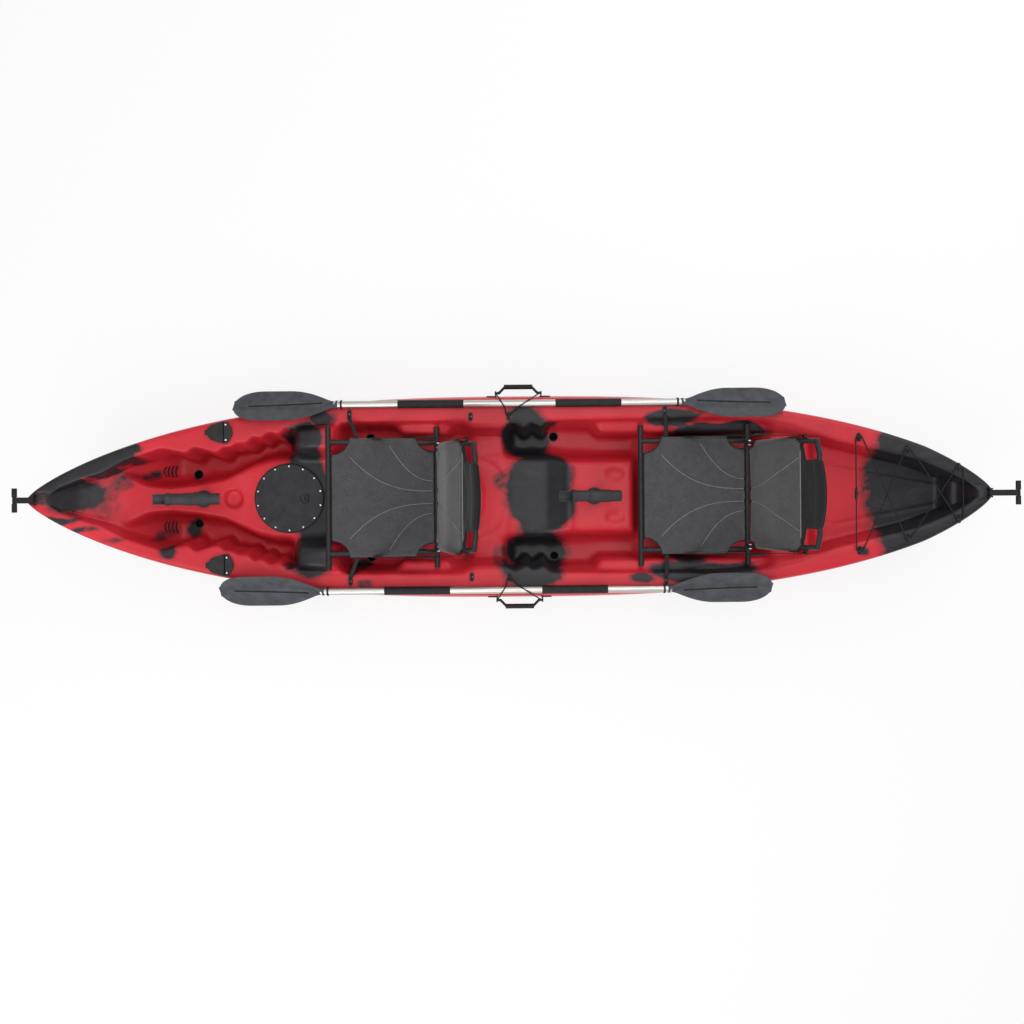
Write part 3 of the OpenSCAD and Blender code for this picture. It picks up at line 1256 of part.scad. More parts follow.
hull_shell();
deck_shell();
scupper_tubes();
rod_sockets();
hatch_ring();
hatch_gasket();
hatch_lid();
hatch_pull();
rod_foot(front_rod);  // front_rod_foot
rod_yoke(front_rod);  // front_rod_yoke
rod_tube(front_rod);  // front_rod_tube
rod_bolt(front_rod);  // front_rod_bolt
rod_foot(rear_rod);  // rear_rod_foot
rod_yoke(rear_rod);  // rear_rod_yoke
rod_tube(rear_rod);  // rear_rod_tube
rod_bolt(rear_rod);  // rear_rod_bolt
flush_rod_holders();
flush_cap(-1);  // flush_cap_port
flush_cap(1);  // flush_cap_stbd
end_saddles();
end_strap(bow_end);  // bow_strap
end_toggle(bow_end);  // bow_toggle
end_strap(stern_end);  // stern_strap
end_toggle(stern_end);  // stern_toggle
side_handle(-1);  // side_handle_port
side_handle(1);  // side_handle_stbd
side_handle_brackets();
pad_eyes();
screws();
seat_tethers();
tank_bungee();
bungee_hook();
keeper_cord(-1);  // keeper_cord_port
keeper_cord(1);  // keeper_cord_stbd
paddle_shaft(-1);  // paddle_port_shaft
paddle_ferrule(-1);  // paddle_port_ferrule
paddle_button(-1);  // paddle_port_button
paddle_grips(-1);  // paddle_port_grips
paddle_rings(-1);  // paddle_port_rings
paddle_blades(-1);  // paddle_port_blades
paddle_shaft(1);  // paddle_stbd_shaft
paddle_ferrule(1);  // paddle_stbd_ferrule
paddle_button(1);  // paddle_stbd_button
paddle_grips(1);  // paddle_stbd_grips
paddle_rings(1);  // paddle_stbd_rings
paddle_blades(1);  // paddle_stbd_blades
seat_frame(front_seat);  // front_seat_frame
seat_pad(front_seat);  // front_seat_pad
seat_back_frame(front_seat);  // front_seat_back_frame
seat_back_pad(front_seat);  // front_seat_back_pad
seat_bolts(front_seat);  // front_seat_bolts
seat_straps(front_seat);  // front_seat_straps
seat_frame(rear_seat);  // rear_seat_frame
seat_pad(rear_seat);  // rear_seat_pad
seat_back_frame(rear_seat);  // rear_seat_back_frame
seat_back_pad(rear_seat);  // rear_seat_back_pad
seat_bolts(rear_seat);  // rear_seat_bolts
seat_straps(rear_seat);  // rear_seat_straps
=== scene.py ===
"""Looks of a two-seat sit-on-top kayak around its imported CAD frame."""

import json
import math

import bmesh
import bpy
import numpy as np
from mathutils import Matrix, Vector, noise


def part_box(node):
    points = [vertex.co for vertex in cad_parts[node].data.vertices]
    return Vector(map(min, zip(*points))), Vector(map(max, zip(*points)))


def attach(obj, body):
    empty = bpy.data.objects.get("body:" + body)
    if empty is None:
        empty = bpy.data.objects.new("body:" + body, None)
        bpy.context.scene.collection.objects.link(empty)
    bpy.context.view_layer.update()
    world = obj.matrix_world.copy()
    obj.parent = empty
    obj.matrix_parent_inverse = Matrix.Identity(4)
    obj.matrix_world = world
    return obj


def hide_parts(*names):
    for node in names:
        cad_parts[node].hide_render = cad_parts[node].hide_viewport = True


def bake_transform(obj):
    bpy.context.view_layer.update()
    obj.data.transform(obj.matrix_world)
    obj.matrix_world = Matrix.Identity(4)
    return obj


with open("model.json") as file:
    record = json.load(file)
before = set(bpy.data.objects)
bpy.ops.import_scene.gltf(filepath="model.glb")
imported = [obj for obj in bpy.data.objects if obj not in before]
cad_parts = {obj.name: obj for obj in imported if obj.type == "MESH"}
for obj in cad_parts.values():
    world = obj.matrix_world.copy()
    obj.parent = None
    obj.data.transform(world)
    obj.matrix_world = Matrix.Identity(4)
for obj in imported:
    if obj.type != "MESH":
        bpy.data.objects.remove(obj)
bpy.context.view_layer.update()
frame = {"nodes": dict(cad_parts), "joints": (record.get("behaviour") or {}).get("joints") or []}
MM = 0.001

# Colours are linear
RED = (0.56, 0.022, 0.036, 1.0)
BLACK = (0.012, 0.012, 0.014, 1.0)
GREY = (0.050, 0.052, 0.060, 1.0)


# Camera and light
def camera_and_light():
    """Plan view from 4.5 m above the floor, rolled as the photograph is."""
    height, focal_px, frame_px = 4.5, 1020.0, 1024.0
    cam = bpy.data.cameras.new("camera")
    cam.sensor_width = 36.0
    cam.lens = 36.0 * focal_px / frame_px
    cam.shift_x = -(519.0 - 512.0) / frame_px
    cam.shift_y = -(512.0 - 496.5) / frame_px
    cam.clip_end = 100.0
    eye = bpy.data.objects.new("camera", cam)
    eye.location = (0.0, 0.0, height)
    eye.rotation_euler = (0.0, 0.0, -math.radians(0.46))
    bpy.context.collection.objects.link(eye)
    bpy.context.scene.camera = eye

    world = bpy.data.worlds.new("studio")
    bpy.context.scene.world = world
    world.use_nodes = True
    back = world.node_tree.nodes["Background"]
    back.inputs["Color"].default_value = (1.0, 1.0, 1.0, 1.0)
    back.inputs["Strength"].default_value = 0.62
    lamps = (("key", (-1.6, -3.2, 3.6), 3.4, 96.0), ("fill", (2.4, 3.4, 3.0), 3.0, 54.0),
             ("top", (0.4, 0.6, 5.2), 3.6, 78.0))
    for name, place, size, power in lamps:
        light = bpy.data.lights.new(name, "AREA")
        light.shape = "SQUARE"
        light.size = size
        light.energy = power
        lamp = bpy.data.objects.new(name, light)
        lamp.location = place
        lamp.rotation_euler = (Vector((0.0, 0.0, 0.2)) - Vector(place)).to_track_quat("-Z", "Y").to_euler()
        bpy.context.collection.objects.link(lamp)
    bpy.context.scene.view_settings.view_transform = "Standard"


# Materials
class Shader:
    """A Principled material with helpers that add procedural detail."""

    def __init__(self, name, rough=0.5, metal=0.0):
        self.mat = bpy.data.materials.new(name)
        self.mat.use_nodes = True
        self.nt = self.mat.node_tree
        self.bsdf = self.nt.nodes["Principled BSDF"]
        self.bsdf.inputs["Roughness"].default_value = rough
        self.bsdf.inputs["Metallic"].default_value = metal
        self.bsdf.inputs["Specular IOR Level"].default_value = 0.5 if metal else 0.26
        self.place = self.node("ShaderNodeTexCoord").outputs["Object"]

    def node(self, kind, inputs=None, **settings):
        """A new node with its settings, and with values or links on its inputs."""
        n = self.nt.nodes.new(kind)
        for key, value in settings.items():
            setattr(n, key, value)
        for key, value in (inputs or {}).items():
            if isinstance(value, bpy.types.NodeSocket):
                self.link(value, n.inputs[key])
            else:
                n.inputs[key].default_value = value
        return n

    def link(self, a, b):
        self.nt.links.new(a, b)

    def noise(self, scale, detail=3.0, rough=0.5, stretch=None, distortion=0.0):
        place = self.place
        if stretch:
            place = self.node("ShaderNodeMapping", {"Vector": place, "Scale": stretch}).outputs[0]
        inputs = {"Scale": scale, "Detail": detail, "Roughness": rough, "Distortion": distortion}
        return self.node("ShaderNodeTexNoise", {**inputs, "Vector": place}).outputs["Fac"]

    def wave(self, scale, direction, distortion=0.0):
        inputs = {"Scale": scale, "Distortion": distortion, "Vector": self.place}
        return self.node("ShaderNodeTexWave", inputs, bands_direction=direction).outputs["Fac"]

    def math(self, op, a, b):
        return self.node("ShaderNodeMath", {0: a, 1: b}, operation=op).outputs[0]

    def ramp(self, fac, stops):
        n = self.node("ShaderNodeValToRGB", {0: fac})
        r = n.color_ramp
        while len(r.elements) < len(stops):
            r.elements.new(0.5)
        for e, (pos, col) in zip(r.elements, stops):
            e.position = pos
            e.color = col
        return n.outputs[0]

    def mix(self, fac, a, b):
        return self.node("ShaderNodeMix", {0: fac, 6: a, 7: b}, data_type="RGBA").outputs[2]

    def colour(self, socket):
        self.link(socket, self.bsdf.inputs["Base Color"])

    def roughness(self, socket, low, high):
        m = self.node("ShaderNodeMapRange", {"Value": socket, "To Min": low, "To Max": high})
        self.link(m.outputs[0], self.bsdf.inputs["Roughness"])

    def bump(self, socket, strength, distance):
        b = self.node("ShaderNodeBump", {"Strength": strength, "Distance": distance, "Height": socket})
        last = self.bsdf.inputs["Normal"]
        if last.links:
            self.link(last.links[0].from_socket, b.inputs["Normal"])
        self.link(b.outputs[0], last)


def floor():
    """A floor that is white to the camera, with painted shadow under the boat: dark where the holes look
    down on it.
    """
    r, z = 14.0, -0.001
    mesh = bpy.data.meshes.new("floor")
    mesh.from_pydata([(-r, -r, z), (r, -r, z), (r, r, z), (-r, r, z)], [], [(0, 1, 2, 3)])
    obj = bpy.data.objects.new("floor", mesh)
    bpy.context.collection.objects.link(obj)
    s = Shader("pale_floor")
    place = s.node("ShaderNodeSeparateXYZ", {0: s.place}).outputs
    squares = []
    for axis, half in (("X", 1.84), ("Y", 0.36)):
        part = s.math("DIVIDE", place[axis], half)
        squares.append(s.math("MULTIPLY", part, part))
    inputs = {"Value": s.math("ADD", *squares), "From Min": 0.74, "From Max": 1.05}
    clear = s.node("ShaderNodeMapRange", inputs).outputs[0]
    # Painted shadow: inside the boat's footprint the floor's own colour is near black, and its glow fades
    # out there
    tone = s.mix(clear, (0.02, 0.02, 0.02, 1.0), (0.86, 0.86, 0.86, 1.0))
    path = s.node("ShaderNodeLightPath").outputs
    seen = s.math("MAXIMUM", path["Is Camera Ray"], path["Is Glossy Ray"])
    seen = s.math("MAXIMUM", seen, path["Is Transmission Ray"])
    share = s.math("MULTIPLY", s.math("MULTIPLY", seen, 0.8), clear)
    diffuse = s.node("ShaderNodeBsdfDiffuse", {"Color": tone}).outputs[0]
    glow = s.node("ShaderNodeEmission").outputs[0]
    layers = s.node("ShaderNodeMixShader", {0: share, 1: diffuse, 2: glow}).outputs[0]
    s.link(layers, s.nt.nodes["Material Output"].inputs[0])
    s.nt.nodes.remove(s.bsdf)
    mesh.materials.append(s.mat)


def shade(colour, times, plus=0.0):
    """A darker or lighter tone of a colour, with its alpha."""
    return tuple(min(1.0, c * times + plus) for c in colour) + (1.0,)


def hull_material():
    """Moulded polyethylene: red with ragged black marbling, faint orange peel and scuffs."""
    s = Shader("marbled_plastic", rough=0.34)
    dark = s.node("ShaderNodeAttribute", attribute_name="dark").outputs["Fac"]
    broad = s.noise(5.0, 5.0, 0.62, distortion=0.8)
    streak = s.noise(9.0, 5.0, 0.65, stretch=(0.55, 1.0, 1.0), distortion=1.2)
    fine = s.noise(38.0, 4.0, 0.7)
    mask = dark
    for pattern, swing in ((broad, 0.55), (streak, 0.75), (fine, 0.22)):
        mask = s.math("ADD", mask, s.math("MULTIPLY", s.math("SUBTRACT", pattern, 0.5), swing))
    deep, light = (0.47, 0.017, 0.028, 1.0), (0.63, 0.035, 0.05, 1.0)
    red = s.ramp(s.noise(3.2, 4.0, 0.6), [(0.3, deep), (0.55, RED), (0.8, light)])
    smoke = s.ramp(streak, [(0.3, BLACK), (0.62, (0.022, 0.021, 0.025, 1.0)), (0.85, GREY)])
    edge = s.ramp(mask, [(0.40, (0, 0, 0, 1)), (0.50, (0.45, 0.45, 0.45, 1)), (0.60, (1, 1, 1, 1))])
    # A dusty violet-red rim runs where the two colours melt into each other
    rim = s.ramp(mask, [(0.30, (0, 0, 0, 1)), (0.46, (1, 1, 1, 1)), (0.62, (0, 0, 0, 1))])
    colour = s.mix(edge, red, smoke)
    colour = s.mix(s.math("MULTIPLY", rim, 0.45), colour, (0.17, 0.020, 0.032, 1.0))
    s.colour(colour)
    scuff = s.noise(160.0, 2.0, 0.6, stretch=(0.25, 1.0, 1.0))
    s.roughness(s.math("ADD", s.math("MULTIPLY", scuff, 0.5), s.math("MULTIPLY", fine, 0.5)), 0.26, 0.46)
    s.bump(s.noise(420.0, 2.0, 0.5), 0.06, 0.0006)
    s.bump(s.noise(14.0, 2.0, 0.5), 0.05, 0.004)
    return s.mat


def plastic(name, colour, rough=0.45, grain=900.0, depth=0.16):
    """Moulded fitting: fine grain, faint colour drift, polished high spots."""
    s = Shader(name, rough=rough)
    drift = s.noise(22.0, 3.0, 0.6)
    s.colour(s.ramp(drift, [(0.3, shade(colour, 0.78)), (0.7, shade(colour, 1.3, 0.004))]))
    s.roughness(s.noise(60.0, 3.0, 0.6), rough - 0.1, rough + 0.14)
    s.bump(s.noise(grain, 2.0, 0.6), depth, 0.0004)
    return s.mat


def rubber(name, colour, rough=0.75):
    s = Shader(name, rough=rough)
    tones = [(0.3, shade(colour, 0.7)), (0.75, shade(colour, 1.35, 0.003))]
    s.colour(s.ramp(s.noise(40.0, 4.0, 0.6), tones))
    s.roughness(s.noise(120.0, 2.0), rough - 0.12, rough + 0.12)
    s.bump(s.noise(700.0, 3.0, 0.6), 0.2, 0.0005)
    return s.mat


def metal(name, colour, rough=0.3, along="X"):
    """Drawn or brushed metal with fine lines along one axis."""
    s = Shader(name, rough=rough, metal=1.0)
    stretch = {"X": (0.03, 1.0, 1.0), "Y": (1.0, 0.03, 1.0), "Z": (1.0, 1.0, 0.03)}[along]
    lines = s.noise(900.0, 2.0, 0.6, stretch=stretch)
    s.colour(s.ramp(lines, [(0.25, shade(colour, 0.86)), (0.75, shade(colour, 1.06))]))
    s.roughness(s.noise(300.0, 3.0, 0.6, stretch=stretch), rough - 0.08, rough + 0.12)
    s.bump(lines, 0.08, 0.0002)
    return s.mat


def powder_coat(name, colour):
    s = Shader(name, rough=0.42)
    tones = [(0.3, shade(colour, 0.8)), (0.75, shade(colour, 1.3, 0.004))]
    s.colour(s.ramp(s.noise(70.0, 4.0, 0.6), tones))
    s.roughness(s.noise(45.0, 3.0), 0.3, 0.55)
    s.bump(s.noise(1500.0, 2.0, 0.6), 0.14, 0.0003)
    return s.mat


def fabric(name, dark, light, pitch=1.5, sheen=0.25):
    """Heather weave: warp and weft with flecks of a lighter yarn."""
    s = Shader(name, rough=0.9)
    s.bsdf.inputs["Sheen Weight"].default_value = sheen
    s.bsdf.inputs["Sheen Roughness"].default_value = 0.5
    threads = 3.14159 / (pitch * MM) / 10.0
    warp = s.wave(threads, "X", 1.2)
    weft = s.wave(threads, "Y", 1.2)
    weave = s.math("MULTIPLY", warp, weft)
    fleck = s.noise(520.0, 3.0, 0.7, stretch=(1.0, 0.35, 1.0))
    patch = s.noise(26.0, 4.0, 0.65)
    tone = s.math("ADD", s.math("MULTIPLY", fleck, 0.78), s.math("MULTIPLY", patch, 0.22))
    between = shade([a + b for a, b in zip(dark, light)], 0.5)
    cloth = s.ramp(tone, [(0.34, shade(dark, 1.0)), (0.52, between), (0.68, shade(light, 1.0))])
    s.colour(s.mix(s.math("MULTIPLY", weave, 0.35), cloth, shade(dark, 0.35)))
    s.bump(weave, 0.35, 0.0006)
    s.bump(s.noise(180.0, 3.0, 0.6), 0.16, 0.0012)
    return s.mat


def webbing(name, colour=(0.012, 0.012, 0.013)):
    s = Shader(name, rough=0.8)
    rib = s.wave(190.0, "DIAGONAL", 0.6)
    s.colour(s.mix(rib, shade(colour, 0.7), shade(colour, 2.2)))
    s.bump(rib, 0.4, 0.0005)
    s.roughness(s.noise(200.0, 2.0), 0.68, 0.9)
    return s.mat


def braid(name, colour=(0.012, 0.012, 0.013)):
    s = Shader(name, rough=0.75)
    a = s.wave(420.0, "DIAGONAL", 0.4)
    b = s.wave(300.0, "X", 0.4)
    knit = s.math("MULTIPLY", a, b)
    s.colour(s.mix(knit, shade(colour, 0.6), shade(colour, 3.0)))
    s.bump(knit, 0.5, 0.0005)
    return s.mat


M = {}


def make_materials():
    M["hull"] = hull_material()
    M["scupper"] = plastic("scupper_plastic", (0.016, 0.015, 0.017), 0.4)
    M["fitting"] = plastic("black_nylon", (0.014, 0.014, 0.015), 0.42)
    M["lid"] = plastic("hatch_plastic", (0.020, 0.020, 0.023), 0.5, grain=500.0, depth=0.25)
    M["holder"] = plastic("holder_plastic", (0.030, 0.031, 0.034), 0.52, grain=700.0, depth=0.3)
    M["cap"] = rubber("cap_rubber", (0.017, 0.017, 0.018), 0.62)
    M["seal"] = rubber("seal_rubber", (0.02, 0.02, 0.02))
    M["grip"] = rubber("grip_rubber", (0.011, 0.011, 0.012), 0.58)
    M["steel"] = metal("bright_steel", (0.80, 0.80, 0.79), 0.3)
    M["shaft"] = metal("satin_aluminium", (0.60, 0.58, 0.55), 0.36)
    M["frame"] = powder_coat("frame_powder_coat", (0.014, 0.014, 0.015))
    M["blade"] = plastic("blade_nylon", (0.052, 0.055, 0.064), 0.5, grain=420.0, depth=0.2)
    M["fabric"] = fabric("seat_heather", (0.034, 0.034, 0.036), (0.098, 0.098, 0.103))
    M["head"] = fabric("seat_mesh_black", (0.006, 0.006, 0.007), (0.018, 0.018, 0.019), 2.2, 0.1)
    M["piping"] = fabric("seat_piping", (0.006, 0.006, 0.006), (0.016, 0.016, 0.017), 1.2, 0.1)
    M["under"] = fabric("seat_underside", (0.009, 0.009, 0.009), (0.022, 0.022, 0.023), 1.8, 0.1)
    M["edge"] = fabric("seat_edge_piping", (0.12, 0.12, 0.125), (0.30, 0.30, 0.31), 1.2, 0.1)
    M["web"] = webbing("strap_webbing")
    M["cord"] = braid("bungee_braid")


NODE_LOOKS = {
    "scupper": ["scupper_tubes"],
    "hull": ["rod_sockets"],
    "lid": ["hatch_ring", "hatch_lid"],
    "seal": ["hatch_gasket"],
    "fitting": ["hatch_pull", "flush_rod_holders", "end_saddles", "side_handle_brackets", "pad_eyes",
                "bungee_hook"],
    "holder": [],
    "cap": ["flush_cap_port", "flush_cap_stbd"],
    "web": ["bow_strap", "stern_strap"],
    "grip": ["bow_toggle", "stern_toggle", "side_handle_port", "side_handle_stbd"],
    "steel": ["screws"],
    "shaft": [],
    "frame": [],
}
for end in ("front", "rear"):
    NODE_LOOKS["holder"] += [f"{end}_rod_{piece}" for piece in ("foot", "yoke", "tube")]
    NODE_LOOKS["fitting"].append(f"{end}_rod_bolt")
    NODE_LOOKS["frame"] += [f"{end}_seat_frame", f"{end}_seat_back_frame"]
    NODE_LOOKS["steel"].append(f"{end}_seat_bolts")
for side in ("port", "stbd"):
    NODE_LOOKS["shaft"].append(f"paddle_{side}_shaft")
    NODE_LOOKS["steel"] += [f"paddle_{side}_ferrule", f"paddle_{side}_button"]
    NODE_LOOKS["grip"] += [f"paddle_{side}_grips", f"paddle_{side}_rings"]


def dress_nodes():
    for material, nodes in NODE_LOOKS.items():
        for name in nodes:
            mesh = frame["nodes"][name].data
            mesh.materials.clear()
            mesh.materials.append(M[material])


# Mesh helpers
def new_object(name, verts, faces, mats, smooth=True, body="boat", slot=None):
    mesh = bpy.data.meshes.new(name)
    mesh.from_pydata([tuple(v) for v in verts], [], [tuple(f) for f in faces])
    mesh.validate()
    for m in mats:
        mesh.materials.append(m)
    if smooth:
        mesh.polygons.foreach_set("use_smooth", [True] * len(mesh.polygons))
    obj = bpy.data.objects.new(name, mesh)
    bpy.context.collection.objects.link(obj)
    if body:
        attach(obj, body)
    return obj


def grid_faces(rows, cols, start=0, flip=False):
    out = []
    for i in range(rows - 1):
        for j in range(cols - 1):
            a = start + i * cols + j
            quad = (a, a + 1, a + cols + 1, a + cols)
            out.append(quad[::-1] if flip else quad)
    return out


def tube(points, radius, sides=10, closed=False):
    """Vertices and faces of a round tube along points, with flat ends."""
    pts = np.asarray(points, float)
    n = len(pts)
    if closed:
        along = np.roll(pts, -1, 0) - np.roll(pts, 1, 0)
    else:
        along = np.gradient(pts, axis=0)
    along /= np.linalg.norm(along, axis=1)[:, None]
    up = np.array([0.0, 0.0, 1.0]) if abs(along[0][2]) < 0.9 else np.array([1.0, 0.0, 0.0])
    verts = []
    for i in range(n):
        u = np.cross(along[i], up)
        u /= np.linalg.norm(u)
        w = np.cross(u, along[i])
        up = w
        for k in range(sides):
            a = 2 * math.pi * k / sides
            verts.append(pts[i] + radius * (math.cos(a) * u + math.sin(a) * w))
    faces = []
    for i in range(n if closed else n - 1):
        j = (i + 1) % n
        for k in range(sides):
            l = (k + 1) % sides
            faces.append((i * sides + k, j * sides + k, j * sides + l, i * sides + l))
    if not closed:
        faces.append(tuple(range(sides)))
        faces.append(tuple((n - 1) * sides + k for k in reversed(range(sides))))
    return verts, faces


def ring_faces(rows, n):
    """Quads between rings of n points each."""
    out = []
    for i in range(rows - 1):
        for j in range(n):
            k = (j + 1) % n
            out.append((i * n + j, i * n + k, (i + 1) * n + k, (i + 1) * n + j))
    return out


def tidy_normals(obj):
    bm = bmesh.new()
    bm.from_mesh(obj.data)
    bmesh.ops.remove_doubles(bm, verts=bm.verts, dist=1e-6)
    bmesh.ops.recalc_face_normals(bm, faces=bm.faces)
    bm.to_mesh(obj.data)
    bm.free()


def smooth_path(points, per=8):
    """Catmull-Rom curve through points."""
    p = np.asarray(points, float)
    p = np.vstack([2 * p[0] - p[1], p, 2 * p[-1] - p[-2]])
    out = []
    for i in range(1, len(p) - 2):
        for t in np.linspace(0.0, 1.0, per, endpoint=False):
            a, b, c, d = p[i - 1:i + 3]
            bend = (2 * a - 5 * b + 4 * c - d) * t * t
            out.append(0.5 * (2 * b + (c - a) * t + bend + (3 * b - a - 3 * c + d) * t ** 3))
    out.append(p[-2])
    return np.array(out)


class Gather:
    """Collects several shapes into one mesh with material numbers."""

    def __init__(self):
        self.verts, self.faces, self.mats = [], [], []

    def add(self, verts, faces, mat=0):
        o = len(self.verts)
        self.verts += [tuple(v) for v in verts]
        self.faces += [tuple(i + o for i in f) for f in faces]
        self.mats += [mat] * len(faces)

    def make(self, name, mats, **settings):
        obj = new_object(name, self.verts, self.faces, mats, **settings)
        obj.data.polygons.foreach_set("material_index", self.mats)
        return obj


# Hull: the same lines as the CAD shells, drawn finely and rounded
HALF = 1950.0
END_HALF, HALF_BEAM, DEPTH, BOW_RISE, STERN_RISE, RAKE = 14.0, 425.0, 320.0, 125.0, 80.0, 50.0
KEEL = [(-1950, 385), (-1930, 345), (-1876, 257), (-1772, 165), (-1647, 90), (-1522, 40), (-1356, 8),
        (-1300, 0), (1150, 0), (1348, 28), (1556, 70), (1722, 124), (1847, 182), (1950, 257)]
MID_Y = [0, 26, 40, 104, 112, 131, 140, 214, 228, 276, 296, 364, 425, 415, 410, 406]
MID_Z = [11, 10, 0, 0, 12, 12, 0, 0, 30, 30, 20, 74, 184, 245, 290, 306]
BOW_Y = [0, 30, 60, 110, 130, 160, 190, 230, 250, 276, 300, 364, 425, 415, 410, 406]
BOW_Z = [0, 14, 30, 50, 54, 55, 50, 42, 40, 40, 46, 90, 184, 245, 290, 306]
AFT_Y = [0, 50, 95, 140, 168, 190, 205, 230, 248, 280, 300, 364, 425, 415, 410, 406]
AFT_Z = [0, 0, 3, 14, 34, 38, 30, 14, 30, 32, 24, 74, 184, 245, 290, 306]
END_Z = [0, 8, 16, 26, 32, 38, 46, 54, 62, 70, 78, 104, 184, 245, 290, 306]
CENTRE = [(-1885, 434), (-1850, 395), (-1800, 345), (-1740, 312), (-1680, 293), (-1620, 280),
          (-1500, 266), (-1200, 254), (-1130, 250), (-790, 250), (-745, 150), (-712, 140), (-230, 140),
          (-190, 222), (-60, 222), (-35, 215), (45, 204), (115, 204), (185, 226), (212, 238), (230, 228),
          (480, 225), (500, 150), (530, 135), (985, 135), (1040, 285), (1195, 300), (1235, 205),
          (1765, 215), (1790, 285), (1830, 292), (1850, 350), (1885, 396)]
CONSOLE = [(-1885, 5), (-1850, 25), (-1800, 42), (-1740, 60), (-1680, 78), (-1620, 92), (-1540, 56),
           (-1450, 48), (-1345, 58), (-1225, 82), (-1090, 150), (-1020, 168), (-790, 168), (-745, 150),
           (-190, 150), (-60, 165), (150, 165), (212, 150), (530, 150), (1195, 140), (1235, 120),
           (1765, 34), (1850, 22), (1885, 6)]
FLOOR = [(-1885, 434), (-1850, 402), (-1800, 356), (-1740, 324), (-1680, 304), (-1620, 266), (-1590, 235),
         (-1450, 100), (-985, 95), (-960, 120), (-930, 262), (-895, 370), (-850, 384), (-790, 384),
         (-745, 373.5), (-712, 150), (-690, 140), (-230, 140), (-190, 214), (-60, 214), (-35, 112),
         (-25, 100), (480, 100), (530, 132), (985, 135), (1040, 282), (1195, 297), (1235, 205),
         (1765, 215), (1790, 285), (1830, 292), (1850, 350), (1885, 397)]
FLOOR_EDGE = [(-1885, 7), (-1850, 36), (-1800, 56), (-1740, 78), (-1680, 97), (-1620, 128), (-1590, 146),
              (-1450, 190), (-1300, 198), (-1225, 202), (-1180, 206), (-1150, 230), (-985, 262),
              (-930, 268), (-745, 282), (-520, 286), (-480, 254), (-300, 254), (-260, 270), (-190, 255),
              (-60, 255), (-25, 286), (300, 286), (330, 254), (1000, 254), (1120, 245), (1195, 228),
              (1300, 196), (1400, 172), (1600, 124), (1765, 62), (1850, 30), (1885, 8)]
GUNWALE = [(-1885, 10), (-1850, 46), (-1800, 68), (-1740, 90), (-1680, 108), (-1590, 160), (-1450, 208),
           (-1300, 216), (-1225, 214), (-1180, 216), (-1150, 246), (-985, 284), (-895, 298), (-690, 312),
           (-230, 314), (-190, 292), (-60, 288), (-25, 306), (210, 314), (800, 318), (985, 306),
           (1120, 280), (1195, 254), (1300, 218), (1400, 194), (1600, 144), (1765, 82), (1850, 42),
           (1885, 14)]
LEDGE = [(-520, 0), (-480, 1), (-300, 1), (-260, 0), (300, 0), (330, 1), (1000, 1), (1040, 0)]
LEDGE_Z, SLOPE_W, WELLS_END = 284.0, 28.0, 1885.0


def look(x, table):
    return float(np.interp(x, [p[0] for p in table], [p[1] for p in table]))


def unit01(v):
    return max(0.0, min(1.0, v))


def mix(a, b, t):
    return a + (b - a) * t


def half_width(x):
    return END_HALF + (HALF_BEAM - END_HALF) * max(0.0, 1 - min(abs(x) / HALF, 1) ** 2.8) ** 0.8


def sheer(x):
    return DEPTH + (BOW_RISE * (-x / 1930) ** 3.4 if x < 0 else STERN_RISE * (x / 1900) ** 3.2)


def rake(x, z):
    keel = look(x, KEEL)
    return -RAKE * unit01((x - 1650) / 300) * unit01((z - keel) / (sheer(x) - keel))


def hull_section(x):
    """Half of the hull's section from the keel up, between the middle, bow, aft and end forms."""
    bow, aft = unit01((-1060 - x) / 440), unit01((x - 190) / 760)
    end = unit01((abs(x) - 1740) / 180)
    keel, top, wide = look(x, KEEL), sheer(x), half_width(x) / HALF_BEAM
    out = []
    for j in range(len(MID_Y)):
        y = mix(mix(MID_Y[j], BOW_Y[j], bow), AFT_Y[j], aft) * wide
        h = mix(mix(mix(MID_Z[j], BOW_Z[j], bow), AFT_Z[j], aft), END_Z[j], end)
        out.append((y, keel + (top - keel) * h / DEPTH))
    return out


def saw(x, start, pitch, n):
    t = (x - start) / pitch
    f = t - math.floor(t)
    return 0.0 if t < 0 or t >= n else f / 0.875 if f < 0.875 else (1 - f) / 0.125


def zigzag(x, start, pitch, n):
    t = (x - start) / pitch
    f = t - math.floor(t)
    return 0.0 if t < 0 or t >= n else 1 - abs(2 * f - 1)


def brace(x):
    return 45 * saw(x, -1450, 120, 3) + 34 * zigzag(x, -1090, 70, 2) + 48 * saw(x, -25, 70, 2)


def deck_section(x, seam):
    """Half of the deck's section, from the middle out to just inside the seam."""
    top = seam[1] + 3 if abs(x) >= HALF - 0.01 else sheer(x)
    lip = 4 * unit01((HALF - abs(x)) / 30)
    rim_z = top - lip
    if abs(x) > WELLS_END:
        u = seam[0] / 20
        flat = [(k * u, top) for k in (0, 1, 2, 4, 6, 8)]
        return flat + [(10 * u, rim_z), (13 * u, top), (17 * u, top - lip / 4)]
    bite = brace(x)
    floor_y, rim_y = look(x, FLOOR_EDGE) - bite, look(x, GUNWALE) - 0.6 * bite
    console_y, ledge = look(x, CONSOLE), look(x, LEDGE)
    centre_z, floor_z = min(top, look(x, CENTRE)), look(x, FLOOR)
    low = (mix(mix(floor_y, rim_y, 0.3), floor_y + 5, ledge),
           mix(mix(floor_z, rim_z, 0.5), LEDGE_Z - 4, ledge))
    high = (mix(mix(floor_y, rim_y, 0.7), rim_y - 10, ledge),
            mix(mix(floor_z, rim_z, 0.9), LEDGE_Z, ledge))
    return [(0, centre_z), (console_y, centre_z), (min(console_y + SLOPE_W, floor_y - 2), floor_z),
            (floor_y, floor_z), low, high, (rim_y, rim_z), (rim_y + 12, top), (seam[0] - 10, top - lip / 4)]


